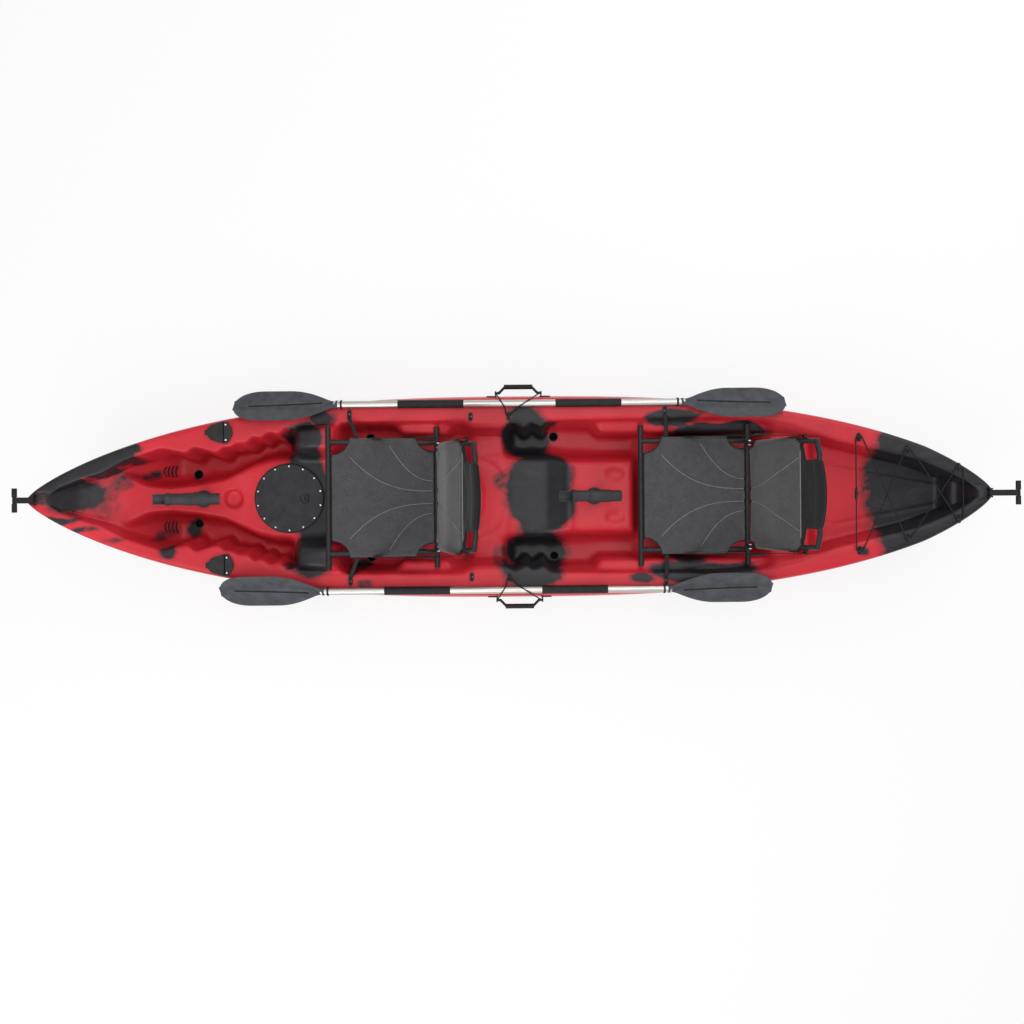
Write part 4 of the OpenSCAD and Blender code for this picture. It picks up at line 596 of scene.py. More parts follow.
HULL_STEPS = [2, 2, 4, 2, 2, 2, 4, 2, 4, 3, 5, 8, 5, 4, 2]
DECK_STEPS = [12, 4, 6, 6, 4, 4, 3, 6, 3]


def refine(points, steps):
    out = []
    for (a, b, n) in zip(points[:-1], points[1:], steps):
        for k in range(n):
            out.append((mix(a[0], b[0], k / n), mix(a[1], b[1], k / n)))
    out.append(points[-1])
    return out


def ring_at(x):
    """One closed section: starboard seam over the deck to the port seam, and under the hull back."""
    hull = hull_section(x)
    seam = hull[-1]
    deck = refine(deck_section(x, seam) + [seam], DECK_STEPS)
    under = refine(hull, HULL_STEPS)
    ring = [(y, z) for y, z in reversed(deck)] + [(-y, z) for y, z in deck[1:]]
    ring += [(-y, z) for y, z in reversed(under[:-1])] + [(y, z) for y, z in under[1:-1]]
    return [(x + rake(x, z), y, z) for y, z in ring], 2 * len(deck) - 1


def dent(g, mask, x, y, rx, ry, depth, soft=0.35):
    """Presses an oval hollow with a rounded rim into the deck part of the rings."""
    d = np.sqrt(((g[..., 0] - x) / rx) ** 2 + ((g[..., 1] - y) / ry) ** 2)
    t = np.clip((1 + soft / 2 - d) / soft, 0, 1)
    g[..., 2] -= mask * depth * t * t * (3 - 2 * t)


def groove(g, mask, points, width, depth):
    """Presses a narrow groove along a line into the deck part of the rings."""
    best = np.full(g.shape[:2], 1e9)
    for a, b in zip(points[:-1], points[1:]):
        a, b = np.array(a, float), np.array(b, float)
        ab = b - a
        t = np.clip(((g[..., 0] - a[0]) * ab[0] + (g[..., 1] - a[1]) * ab[1]) / (ab @ ab), 0, 1)
        best = np.minimum(best, np.hypot(g[..., 0] - a[0] - t * ab[0], g[..., 1] - a[1] - t * ab[1]))
    g[..., 2] -= mask * depth * np.exp(-(best / width) ** 2)


SCUPPERS = [(-1380, 105), (-631, 253), (150, 256), (895, 161)]
SCUPPER_R = 21.4
HATCH_X, HATCH_HOLE_R = -955, 113
FLUSH_X, FLUSH_Y, SOCKET_X, SOCKET_Y, MOUTH_R = -1234, 270, 1155, 222, 24
CUP_X, CUP_R, CUP_DEPTH = -1190, 36, 28
OVAL_X, OVAL_Y, OVAL_HALF, OVAL_DEPTH = 403, 91, (37, 22), 9
CHILD_SEAT_EDGE = [(-222, 168), (-170, 160), (-120, 138), (-80, 100), (-55, 56)]
TANK_WELL_RIB = [(1262, 110), (1330, 128), (1500, 92), (1740, 48)]
CHILD_SEAT_LIP = [(-172, -84), (-158, -40), (-154, 0), (-158, 40), (-172, 84)]


def hull_piece():
    xs = np.linspace(-HALF, HALF, 489)
    rings = []
    for x in xs:
        r, deck_n = ring_at(x)
        rings.append(r)
    g = np.array(rings)
    n = g.shape[1]
    on_deck = np.zeros(g.shape[:2])
    on_deck[:, 6:deck_n - 6] = 1.0
    # Round the moulded corners: along the boat, then round each section
    for _ in range(3):
        g[1:-1] = 0.25 * g[:-2] + 0.5 * g[1:-1] + 0.25 * g[2:]
    for _ in range(2):
        g = 0.25 * np.roll(g, 1, 1) + 0.5 * g + 0.25 * np.roll(g, -1, 1)
    # Hollows pressed into the deck
    dent(g, on_deck, CUP_X, 0, CUP_R, CUP_R, CUP_DEPTH, 0.3)
    for s in (1, -1):
        dent(g, on_deck, OVAL_X, OVAL_Y * s, *OVAL_HALF, OVAL_DEPTH, 0.4)
        groove(g, on_deck, [(x, y * s) for x, y in CHILD_SEAT_EDGE], 6.0, 5.0)
        groove(g, on_deck, [(x, y * s) for x, y in TANK_WELL_RIB], 6.0, 4.0)
    groove(g, on_deck, CHILD_SEAT_LIP, 6.0, 4.0)
    verts = [tuple(p) for p in g.reshape(-1, 3) * MM]
    rows = len(xs)
    faces = ring_faces(rows, n)
    # Rounded ends
    for row, out in ((0, -1), (rows - 1, 1)):
        ring = g[row]
        mid = ring.mean(0)
        prev = [row * n + j for j in range(n)]
        for scale, push in ((0.86, 3.0), (0.55, 5.5), (0.2, 6.5)):
            base = len(verts)
            for p in ring:
                q = mid + (p - mid) * scale
                verts.append(tuple(np.array((p[0] + out * push, q[1], q[2])) * MM))
            now = [base + j for j in range(n)]
            for j in range(n):
                k = (j + 1) % n
                quad = (prev[j], prev[k], now[k], now[j])
                faces.append(quad if out < 0 else quad[::-1])
            prev = now
        verts.append(tuple(np.array((mid[0] + out * 6.8, mid[1], mid[2])) * MM))
        for j in range(n):
            k = (j + 1) % n
            tri = (prev[j], prev[k], len(verts) - 1)
            faces.append(tri if out < 0 else tri[::-1])
    obj = new_object("moulded_hull", verts, faces, [M["hull"]], body="boat", slot="hull_red")
    part = np.zeros(len(verts))
    part[:on_deck.size] = on_deck.ravel()
    obj.data.attributes.new("deck_part", "FLOAT", "POINT").data.foreach_set("value", part)
    tidy_normals(obj)
    cut_holes(obj)
    paint(obj)
    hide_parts("hull_shell", "deck_shell")
    return obj


def cut_holes(obj):
    """Opens the hatch, the holders' and sockets' mouths and the scuppers."""
    bm = bmesh.new()
    bm.from_mesh(obj.data)
    gone = []
    rims = []
    for f in bm.faces:
        c = f.calc_center_median() / MM
        up = f.normal.z
        mouths = (math.hypot(c.x - HATCH_X, c.y) < HATCH_HOLE_R,
                  math.hypot(c.x - FLUSH_X, abs(c.y) - FLUSH_Y) < MOUTH_R,
                  math.hypot((c.x - SOCKET_X) / 1.1, abs(c.y) - SOCKET_Y) < MOUTH_R)
        if up > 0.2 and any(mouths):
            gone.append(f)
        else:
            for x, y in SCUPPERS:
                if math.hypot(c.x - x, abs(c.y) - y) < 17:
                    gone.append(f)
                    rims += [(v, x, y) for v in f.verts]
                    break
    bmesh.ops.delete(bm, geom=gone, context="FACES")
    for v, x, y in rims:
        if not v.is_valid:
            continue
        side = 1 if v.co.y > 0 else -1
        d = Vector((v.co.x / MM - x, v.co.y / MM - side * y))
        if d.length > 0.01:
            d *= SCUPPER_R / d.length
            v.co.x, v.co.y = (x + d.x) * MM, (side * y + d.y) * MM
    loose = [v for v in bm.verts if not v.link_faces]
    bmesh.ops.delete(bm, geom=loose, context="VERTS")
    bm.to_mesh(obj.data)
    bm.free()


# Dark marbling as soft bands (from x, to x) on bottom and sides,
# and ovals (x, y, half length, half width, strength) on the deck
BOTTOM_BANDS = [(-2000, -1740), (-1075, -790), (-118, 150), (622, 925), (1640, 2000)]
SIDE_BANDS = [(-2000, -1470), (-735, -430), (-90, 205), (540, 830), (1440, 1660)]
DECK_PATCHES = [
    (-1800, 14, 150, 72, 0.72), (-1690, -20, 80, 60, 0.5), (-1660, 60, 70, 50, 0.45),
    (-1860, 76, 90, 34, 1.2), (-1755, 120, 95, 38, 1.2), (-1650, 166, 80, 38, 1.2),
    (-1580, 196, 44, 26, 0.8), (-1900, 20, 60, 60, 0.62), (-1870, -84, 90, 18, 0.8),
    (-1775, -128, 110, 12, 0.5), (-1650, -168, 60, 14, 0.45), (1150, 0, 40, 60, 0.3),
    (-1560, 90, 40, 26, 0.5), (-1500, -150, 40, 30, 0.55), (-1396, -128, 44, 40, 0.72),
    (-1420, -215, 42, 34, 0.72), (-860, 0, 84, 262, 1.3), (-850, 262, 90, 60, 1.1),
    (-850, -262, 90, 60, 1.0), (-800, 335, 60, 44, 0.75), (-930, 250, 40, 36, 0.8),
    (-940, -262, 46, 40, 0.8), (-620, -346, 52, 26, 0.66), (-690, -300, 50, 26, 0.7),
    (70, 0, 128, 168, 1.35), (40, 262, 96, 104, 1.05), (20, 340, 60, 40, 0.7), (50, -262, 128, 108, 1.05),
    (120, -330, 70, 44, 0.7), (-80, -250, 50, 70, 0.62), (-70, 60, 40, 60, 0.6),
    (630, 325, 100, 40, 0.95), (830, 262, 190, 34, 1.1), (480, -348, 60, 24, 0.75),
    (735, -316, 215, 40, 1.1), (700, -262, 90, 24, 0.9), (1400, -236, 40, 22, 0.66),
    (1800, 0, 302, 420, 1.6), (1500, 226, 40, 40, 0.7), (1520, -60, 60, 70, 0.8), (1500, 60, 50, 60, 0.6),
]


def band_value(x, bands, soft):
    best = 0.0
    for a, b in bands:
        best = max(best, min(unit01((x - a + soft) / (2 * soft)), unit01((b + soft - x) / (2 * soft))))
    return best


def paint(obj):
    mesh = obj.data
    dark = np.zeros(len(mesh.vertices))
    part = np.zeros(len(mesh.vertices))
    mesh.attributes["deck_part"].data.foreach_get("value", part)
    for i, v in enumerate(mesh.vertices):
        p = v.co / MM
        wob = noise.noise(v.co * 3.1) * 70 + noise.noise(v.co * 9.0 + Vector((7.1, 2.3, 4.4))) * 40
        up = v.normal.z
        top = sheer(p.x) if abs(p.x) < HALF else 400.0
        if part[i] > 0.5 or (up > 0.05 and p.z > 60):
            value = 0.0
            for x, y, rx, ry, s in DECK_PATCHES:
                d = math.hypot((p.x + wob * 0.6 - x) / rx, (p.y + wob * 0.35 - y) / ry)
                value = max(value, s * unit01((1.5 - d) / 1.0))
            dark[i] = unit01(value)
        else:
            below = unit01((0.62 * top - p.z) / (0.30 * top))
            low = band_value(p.x + wob, BOTTOM_BANDS, 26)
            side = band_value(p.x + wob * 1.4 + 0.5 * (p.z - 200), SIDE_BANDS, 60)
            value = mix(side, low, below)
            # Smoky veins under the bow
            if p.x < -1050 and below > 0.5:
                vein = abs(noise.noise(Vector((v.co.x * 5.0, v.co.y * 9.0, 3.0)))) * 5.0
                value = max(value, 0.72 * unit01(1.0 - vein) * unit01((-1060 - p.x) / 120))
            dark[i] = unit01(value)
    layer = mesh.attributes.new("dark", "FLOAT", "POINT")
    layer.data.foreach_set("value", dark)


# Paddle blades: the CAD form drawn finely
SHAFT_R, BLADE_LEN, BLADE_W, BLADE_T, BLADE_TILT = 15.0, 430.0, 190.0, 5.0, 45.0
PADDLE_Y = 380.0
SHAFT_HALF = 715.0
BLADE_NECK = SHAFT_R + 4


def shaft_middle(side):
    """Where a paddle's shaft has its middle: along the boat, and above the floor."""
    low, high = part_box(f"paddle_{side}_shaft")
    return (low.x + high.x) / 2 / MM, (low.z + high.z) / 2 / MM


def blade_half(u):
    opening = math.sin(math.radians(90 * unit01((u - 0.06) / 0.42)))
    shut = math.sqrt(max(0.0, 1 - unit01((u - 0.72) / 0.28) ** 2.4))
    wide = mix(BLADE_NECK, BLADE_W / 2, opening)
    return max(BLADE_NECK * 0.8, wide * (1 if u < 0.72 else max(0.3, shut)))


def blade_point(u, v, up):
    half = blade_half(u)
    drop = 14 * math.sin(math.radians(90 * unit01(u * 1.2)))
    rib = 11 * (1 - 0.85 * u) * max(0.0, 1 - abs(v) * 4.6)
    rib = rib * rib / 9.0 if rib < 1 else rib
    neck = (SHAFT_R + 2) * (1 - unit01(u / 0.22)) ** 2 * math.sqrt(max(0.0, 1 - v * v))
    edge = 1 - 0.5 * v * v - 0.42 * max(0.0, abs(v) - 0.86) / 0.14
    return (u * BLADE_LEN, v * half * (1 if v < 0 else 0.94),
            -drop * (1 - v * v) * 0.7 + up * (BLADE_T / 2 * max(0.08, edge) + max(rib, neck)))


def blades_piece(side, sign, centre_x, centre_z):
    g = Gather()
    rows, cols = 64, 33
    tilt = math.radians(-BLADE_TILT)

    def placed(x, y, z, s):
        y, z = y * math.cos(tilt) - z * math.sin(tilt), y * math.sin(tilt) + z * math.cos(tilt)
        along = centre_x + s * (SHAFT_HALF - 20 + x)
        return along * MM, sign * (PADDLE_Y + y) * MM, (centre_z + z) * MM

    for s in (1, -1):
        sheets = []
        for up in (1, -1):
            pts = []
            for i in range(rows):
                u = 0.012 + (1 - 0.012) * (i / (rows - 1)) ** 0.9
                for j in range(cols):
                    v = 2 * j / (cols - 1) - 1
                    x, y, z = blade_point(u, v, up)
                    if i == rows - 1:
                        z *= 0.4
                    pts.append(placed(x, y, z, s))
            sheets.append(pts)
            # A thin dark tube along the crest of each face's rib: painted shade of the rib
            rib_shade_line = [placed(*blade_point(u, 0.0, up), s) for u in np.linspace(0.16, 0.86, 30)]
            g.add(*tube(rib_shade_line, 3.2 * MM, 8), 1)
        n = rows * cols
        flip = (s * sign) < 0
        faces = grid_faces(rows, cols, 0, not flip) + grid_faces(rows, cols, n, flip)
        rim = list(range(cols)) + [i * cols + cols - 1 for i in range(1, rows)]
        rim += [(rows - 1) * cols + j for j in range(cols - 2, -1, -1)]
        rim += [i * cols for i in range(rows - 2, 0, -1)]
        for a, b in zip(rim, rim[1:] + rim[:1]):
            quad = (a, b, b + n, a + n)
            faces.append(quad if flip else quad[::-1])
        g.add(sheets[0] + sheets[1], faces)
    obj = g.make(f"paddle_{side}_blade_pair", [M["blade"], M["grip"]],
                 body=f"paddle_{side}", slot="blade_grey")
    tidy_normals(obj)
    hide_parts(f"paddle_{side}_blades")
    return obj


# Seats
TUBE_R, SEAT_LEN, PIVOT_H = 11.0, 440.0, 42.0
PAD_T, SEAM_DEPTH, PAD_CROWN, PAD_HALF = 24.0, 7.0, 9.0, 241.0
NOTCH, FRONT_BITE, REAR_BITE, SLEEVE_R = 72.0, 68.0, 54.0, 12.0
PAD_GAP = TUBE_R + 2
PAD_LEN = SEAT_LEN - 2 * PAD_GAP
BACK_BEND, BACK_TOP = np.array((60.0, 225.0)), np.array((178.0, 413.0))
BACK_RAIL_Y, BACK_R = 204.0, 10.0
STRAP_W, STRAP_T = 38.0, 2.5


class Seat:
    """Where a seat's base and back lie, read from its frame's tubes."""

    def __init__(self, name):
        node = frame["nodes"][f"{name}_seat_frame"]
        low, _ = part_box(f"{name}_seat_frame")
        x0 = low.x / MM + TUBE_R
        front = [v.co.z / MM for v in node.data.vertices if v.co.x / MM < x0]
        z0, z1 = (max(front) + min(front)) / 2, low.z / MM + TUBE_R
        a = math.asin((z1 - z0) / SEAT_LEN)
        self.name = name
        self.origin = np.array((x0, 0.0, z0))
        self.along = np.array((math.cos(a), 0.0, math.sin(a)))
        self.square = np.array((-math.sin(a), 0.0, math.cos(a)))
        self.pivot = self.rail(1.0) + PIVOT_H * self.square

    def rail(self, t):
        return self.origin + SEAT_LEN * t * self.along

    def base(self, t, y, h):
        p = self.origin + (PAD_GAP + PAD_LEN * t) * self.along + h * self.square
        return (p + np.array((0.0, y, 0.0))) * MM

    def back(self, v, y):
        return self.pivot + np.array((v[0], y, v[1]))


def pad_edge(t):
    k = unit01(min(t, 1 - t) * PAD_LEN / NOTCH)
    return PAD_HALF - (FRONT_BITE if t < 0.5 else REAR_BITE) * math.sqrt(max(0.0, 1 - k * k))


def pad_seams(t):
    """Half widths of the two fan seams: the inner from the front corner, the outer from the side."""
    rest = max(0.0, 1 - t)
    return 26 + 142 * (rest / 0.83) ** 2.8, 66 + 147 * (rest / 0.44) ** 2.2


def seam_distance(t, y):
    best = 1e9
    for now, ahead in zip(pad_seams(t), pad_seams(t + 0.004)):
        slope = (ahead - now) / (0.004 * PAD_LEN)
        best = min(best, abs(abs(y) - now) / math.hypot(1.0, slope))
    return best


def seam_height(t, y):
    """Height of the base's top where a seam draws it in."""
    crown = PAD_CROWN * math.sin(math.pi * t) * (1 - (y / PAD_HALF) ** 2)
    return PAD_T - SEAM_DEPTH - PAD_CROWN + crown


def swell(t):
    return t * t * (3 - 2 * t)


def closed_loft(rings):
    """One closed mesh over rings of as many points each, with filled ends."""
    rows, n = len(rings), len(rings[0])
    faces = ring_faces(rows, n)
    half = n // 2
    for base, flip in ((0, True), ((rows - 1) * n, False)):
        for j in range(half):
            quad = [base + j, base + j + 1, base + (n - j - 1) % n, base + (n - j) % n]
            quad = list(dict.fromkeys(quad))
            if len(quad) > 2:
                faces.append(tuple(quad[::-1] if flip else quad))
    return [p for r in rings for p in r], faces


def puff(obj, held, pressure, cap):
    """Swells a closed pad by cloth simulation round its held points, no point further than cap."""
    scene = bpy.context.scene
    start = np.array([v.co for v in obj.data.vertices])
    group = obj.vertex_groups.new(name="held")
    group.add([i for i, h in enumerate(held) if h], 1.0, "REPLACE")
    mod = obj.modifiers.new("puff", "CLOTH")
    cloth = mod.settings
    cloth.vertex_group_mass = "held"
    cloth.quality = 6
    cloth.mass = 0.25
    cloth.tension_stiffness = 22.0
    cloth.compression_stiffness = 12.0
    cloth.bending_stiffness = 0.35
    cloth.use_pressure = True
    cloth.uniform_pressure_force = pressure
    cloth.effector_weights.gravity = 0.0
    mod.collision_settings.use_collision = False
    mod.point_cache.frame_start = 1
    mod.point_cache.frame_end = 20
    for f in range(1, 21):
        scene.frame_set(f)
    shaped = obj.evaluated_get(bpy.context.evaluated_depsgraph_get())
    move = np.array([v.co for v in shaped.data.vertices]) - start
    reach = np.linalg.norm(move, axis=1)
    move *= np.minimum(1.0, cap / np.maximum(reach, 1e-9))[:, None]
    obj.modifiers.remove(mod)
    obj.vertex_groups.remove(group)
    obj.data.vertices.foreach_set("co", (start + move).ravel())
    obj.data.update()
    scene.frame_set(1)


PAD_ROWS, ARC_N = 84, 8


def sleeved_ring(n, edge, sleeve, thick, rest, top, under):
    """A ring over a pad's top, round its edge's sleeve (wide, tall) and back below: (y, height, held).

    thick closes the ring towards the height rest; top(y) gives a height and if it is sewn there.
    """
    half = []
    for k in range(n):
        y = edge * k / n
        h, sewn = top(y)
        half.append((y, mix(rest, h, thick), sewn))
    for k in range(ARC_N + 1):
        a = math.pi / 2 - math.pi * k / ARC_N
        half.append((edge + sleeve[0] * math.cos(a), mix(rest, sleeve[1] * math.sin(a), thick), True))
    for k in range(n - 1, -1, -1):
        y = edge * k / n
        half.append((y, mix(rest, under(y), thick), True))
    return half + [(-y, h, held) for y, h, held in reversed(half[1:-1])]


def rounded_end(share, length, reach):
    """How far a pad has its full thickness at a share of its length: it rounds off within reach."""
    end = unit01(min(share, 1 - share) * length / reach + 0.02)
    return math.sqrt(1 - (1 - end) ** 2)


def base_pad(seat):
    """The base sling: quilted between its fan seams, sleeved over the side rails, corners bitten out."""
    rings, held = [], []
    for i in range(PAD_ROWS):
        t = i / (PAD_ROWS - 1)
        t = mix(t, swell(t), 0.25)
        edge = pad_edge(t) - SLEEVE_R

        def top(y):
            d = seam_distance(t, y)
            h = seam_height(t, y) + SEAM_DEPTH * (1 - math.exp(-((d / 8.5) ** 2)))
            return mix(h, SLEEVE_R + 0.5, swell(unit01((y - edge + 24) / 24))), d < 4.5 and t > 0.12

        def under(y):
            return mix(-SLEEVE_R, -4.0, swell(unit01((edge - y) / 26)))

        sleeve = (SLEEVE_R, SLEEVE_R + 0.5)
        ring = sleeved_ring(40, edge, sleeve, rounded_end(t, PAD_LEN, 12), 2.0, top, under)
        rings.append([seat.base(t, y, h) for y, h, _ in ring])
        held += [sewn or i in (0, PAD_ROWS - 1) for _, _, sewn in ring]
    verts, faces = closed_loft(rings)
    obj = new_object(f"{seat.name}_seat_cushion", verts, faces, [M["fabric"], M["under"]],
                     body="boat", slot="seat_fabric")
    puff(obj, held, 5.0, 6 * MM)
    tidy_normals(obj)
    for p in obj.data.polygons:
        p.material_index = 1 if p.normal @ Vector(seat.square) < -0.5 else 0
    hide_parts(f"{seat.name}_seat_pad")
    return obj


def base_trim(seat):
    """Binding round the cushion's edges, and piping along its seams."""
    g = Gather()
    for t_from, t_to in ((0.0, 0.22), (0.80, 1.0)):
        for s in (1, -1):
            shares = np.linspace(t_from, t_to, 25)
            line = [seat.base(t, s * (pad_edge(t) + 0.5), 0.0) for t in shares]
            g.add(*tube(smooth_path(line, 2), 3.4 * MM, 8))
    for t in (0.004, 0.996):
        e = pad_edge(t)
        g.add(*tube([seat.base(t, y, 2.0) for y in np.linspace(-e, e, 30)], 4.0 * MM, 8))
    for which, t_from in ((0, 0.17), (1, 0.56)):
        for s in (1, -1):
            line = []
            for k in range(70):
                t = mix(t_from, 0.988, k / 69)
                y = pad_seams(t)[which]
                if y < pad_edge(t) - SLEEVE_R - 2:
                    line.append(seat.base(t, s * y, seam_height(t, y) + 0.9))
            g.add(*tube(line, 1.5 * MM, 8), 1)
    return g.make(f"{seat.name}_seat_trim", [M["piping"], M["edge"]], body="boat", slot="webbing")


PANEL_FROM, HEAD_SEAM, HEAD_HALF, PANEL_LOW, PANEL_LEN = 0.08, 0.765, 126.0, 190.0, 470.0


def back_path(s):
    """Points of the back's middle line, rounded at the rails' knee."""
    a, b, c = BACK_BEND * PANEL_FROM, BACK_BEND, BACK_TOP - np.array((4.0, 2.5))
    soft = 0.07
    if abs(s - 0.5) < soft:
        u = (s - 0.5 + soft) / (2 * soft)
        p, q = mix(a, b, 1 - 2 * soft), mix(b, c, 2 * soft)
        return (1 - u) ** 2 * p + 2 * u * (1 - u) * b + u * u * q
    return mix(a, b, s * 2) if s < 0.5 else mix(b, c, (s - 0.5) * 2)


def back_normal(s):
    d = back_path(min(1.0, s + 0.02)) - back_path(max(0.0, s - 0.02))
    return np.array((-d[1], d[0])) / np.linalg.norm(d)


def back_along(s):
    n = back_normal(s)
    return np.array((n[1], -n[0]))


def head_arch(s, y):
    """How far the head panel's top edge bows up over its bar."""
    return 20.0 * unit01((s - 0.86) / 0.14) * max(0.0, 1 - (y / HEAD_HALF) ** 2)


def panel_half(s):
    low = mix(PANEL_LOW, BACK_RAIL_Y + BACK_R + 4.5, swell(unit01((s - 0.075) / 0.05)))
    wide = low - 3.0 * s
    shoulder = unit01((s - 0.68) / 0.13)
    return mix(wide, HEAD_HALF, 1 - math.sqrt(1 - shoulder ** 2) if shoulder < 1 else 1.0)


def back_seam(s):
    return 26 + (141 - 26) * min(1.0, s / HEAD_SEAM) ** 1.7


def back_pad(seat):
    """The back panel: two quilted wings and a middle, sleeves over the rails, a plain head panel above."""
    top_n = 36
    rings, held = [], []
    for i in range(PAD_ROWS):
        s = i / (PAD_ROWS - 1)
        over_bar = swell(unit01((s - 0.90) / 0.05))
        head = swell(unit01((s - 0.74) / 0.05))
        sleeve = mix(mix(13.5, 7.0, head), 13.0, over_bar)
        edge = panel_half(s) - sleeve

        def top(y):
            d = abs(y - back_seam(s)) if s < HEAD_SEAM else 99.0
            d = min(d, abs(s - HEAD_SEAM) * PANEL_LEN)
            full = 1 - math.exp(-((d / 8.0) ** 2))
            h = mix(5.0 + 6.0 * full + 4.0 * math.sin(math.pi * s), 7.0 * full, head)
            return mix(mix(h, 13.0, over_bar), sleeve, swell(unit01((y - edge + 26) / 26))), d < 4.0

        def under(y):
            return mix(-sleeve, mix(mix(-8.0, -5.0, head), -13.0, over_bar), swell(unit01((edge - y) / 26)))

        ring = sleeved_ring(top_n, edge, (sleeve, sleeve), rounded_end(s, PANEL_LEN, 13), 0.0, top, under)
        points = [back_path(s) + back_normal(s) * h + back_along(s) * head_arch(s, y) for y, h, _ in ring]
        rings.append([seat.back(p, y) * MM for p, (y, _, _) in zip(points, ring)])
        held += [sewn or i in (0, PAD_ROWS - 1) or s > 0.88 for _, _, sewn in ring]
    verts, faces = closed_loft(rings)
    obj = new_object(f"{seat.name}_seat_back_panel", verts, faces, [M["fabric"], M["head"], M["under"]],
                     body=f"{seat.name}_seat_back", slot="seat_fabric")
    puff(obj, held, 5.0, 5 * MM)
    n_ring = len(rings[0])
    back_from = top_n + ARC_N
    for p in obj.data.polygons:
        row, col = divmod(p.vertices[0], n_ring)
        s = min(row, PAD_ROWS - 1) / (PAD_ROWS - 1)
        behind = back_from <= col <= n_ring - back_from
        p.material_index = 2 if behind else 1 if s >= HEAD_SEAM else 0
    tidy_normals(obj)
    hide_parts(f"{seat.name}_seat_back_pad")
    return obj


def back_trim(seat):
    """Piping under the head panel and along the seams, and binding along the panel's edges."""
    g = Gather()
    half = panel_half(HEAD_SEAM) - 4
    c, n = back_path(HEAD_SEAM), back_normal(HEAD_SEAM)
    g.add(*tube([seat.back(c + n * 3.6, y) * MM for y in np.linspace(-half, half, 40)], 2.0 * MM, 8), 1)
    for s in (1, -1):
        shares = np.linspace(0.62, 0.97, 40)
        line = [seat.back(back_path(u), s * (panel_half(u) + 0.4)) * MM for u in shares]
        g.add(*tube(line, 3.2 * MM, 8))
    low = [seat.back(back_path(0.006), y) * MM for y in np.linspace(-PANEL_LOW, PANEL_LOW, 30)]
    g.add(*tube(low, 3.6 * MM, 8))
    for s in (1, -1):
        line = []
        for v in np.linspace(0.02, HEAD_SEAM - 0.01, 60):
            h = 5.8 + 4.0 * math.sin(math.pi * v)
            line.append(seat.back(back_path(v) + back_normal(v) * h, s * back_seam(v)) * MM)
        g.add(*tube(line, 1.4 * MM, 8), 1)
    return g.make(f"{seat.name}_seat_back_trim", [M["piping"], M["edge"]],
                  body=f"{seat.name}_seat_back", slot="webbing")


def ribbon(points, across, width, thick, rows_across=4):
    """A flat strap along points: across gives its width direction at each point."""
    pts = np.asarray(points, float)
    wide = np.asarray(across, float)
    if wide.ndim == 1:
        wide = np.tile(wide, (len(pts), 1))
    wide = wide / np.linalg.norm(wide, axis=1)[:, None]
    along = np.gradient(pts, axis=0)
    along /= np.linalg.norm(along, axis=1)[:, None]
    up = np.cross(along, wide)
    up /= np.linalg.norm(up, axis=1)[:, None]
    rings = []
    for p, w, u in zip(pts, wide, up):
        ring = []
        for k in range(rows_across + 1):
            f = k / rows_across - 0.5
            ring.append(p + w * width * f + u * thick / 2 * (1 if 0 < k < rows_across else 0.6))
        for k in range(rows_across, -1, -1):
            f = k / rows_across - 0.5
            ring.append(p + w * width * f - u * thick / 2 * (1 if 0 < k < rows_across else 0.6))
        rings.append(ring)
    n = 2 * (rows_across + 1)
    faces = ring_faces(len(rings), n)
    last = (len(rings) - 1) * n
    for j in range(rows_across):
        faces.append((j, n - 1 - j, n - 2 - j, j + 1))
        faces.append((last + j, last + j + 1, last + n - 2 - j, last + n - 1 - j))
    return [p for r in rings for p in r], faces


def bar_box(centre, axes, size):
    """A block with cut corners, for buckles: axes are three unit directions."""
    c = np.asarray(centre, float)
    bevel = 0.16 * min(size)
    ring = []
    for z in (-0.5, 0.5):
        w, l, h = size[0] / 2, size[1] / 2, z * size[2]
        ring.append([(w - bevel, l, h), (-w + bevel, l, h), (-w, l - bevel, h), (-w, -l + bevel, h),
                     (-w + bevel, -l, h), (w - bevel, -l, h), (w, -l + bevel, h), (w, l - bevel, h)])
    verts = [c + sum(a * v for a, v in zip(axes, p)) for r in ring for p in r]
    faces = [tuple(range(8)), tuple(range(15, 7, -1))]
    for j in range(8):
        k = (j + 1) % 8
        faces.append((j, j + 8, k + 8, k))
    return verts, faces


STRAP_LOW_T, STRAP_TOP, STRAP_SAG = 0.42, 0.62, 5.0


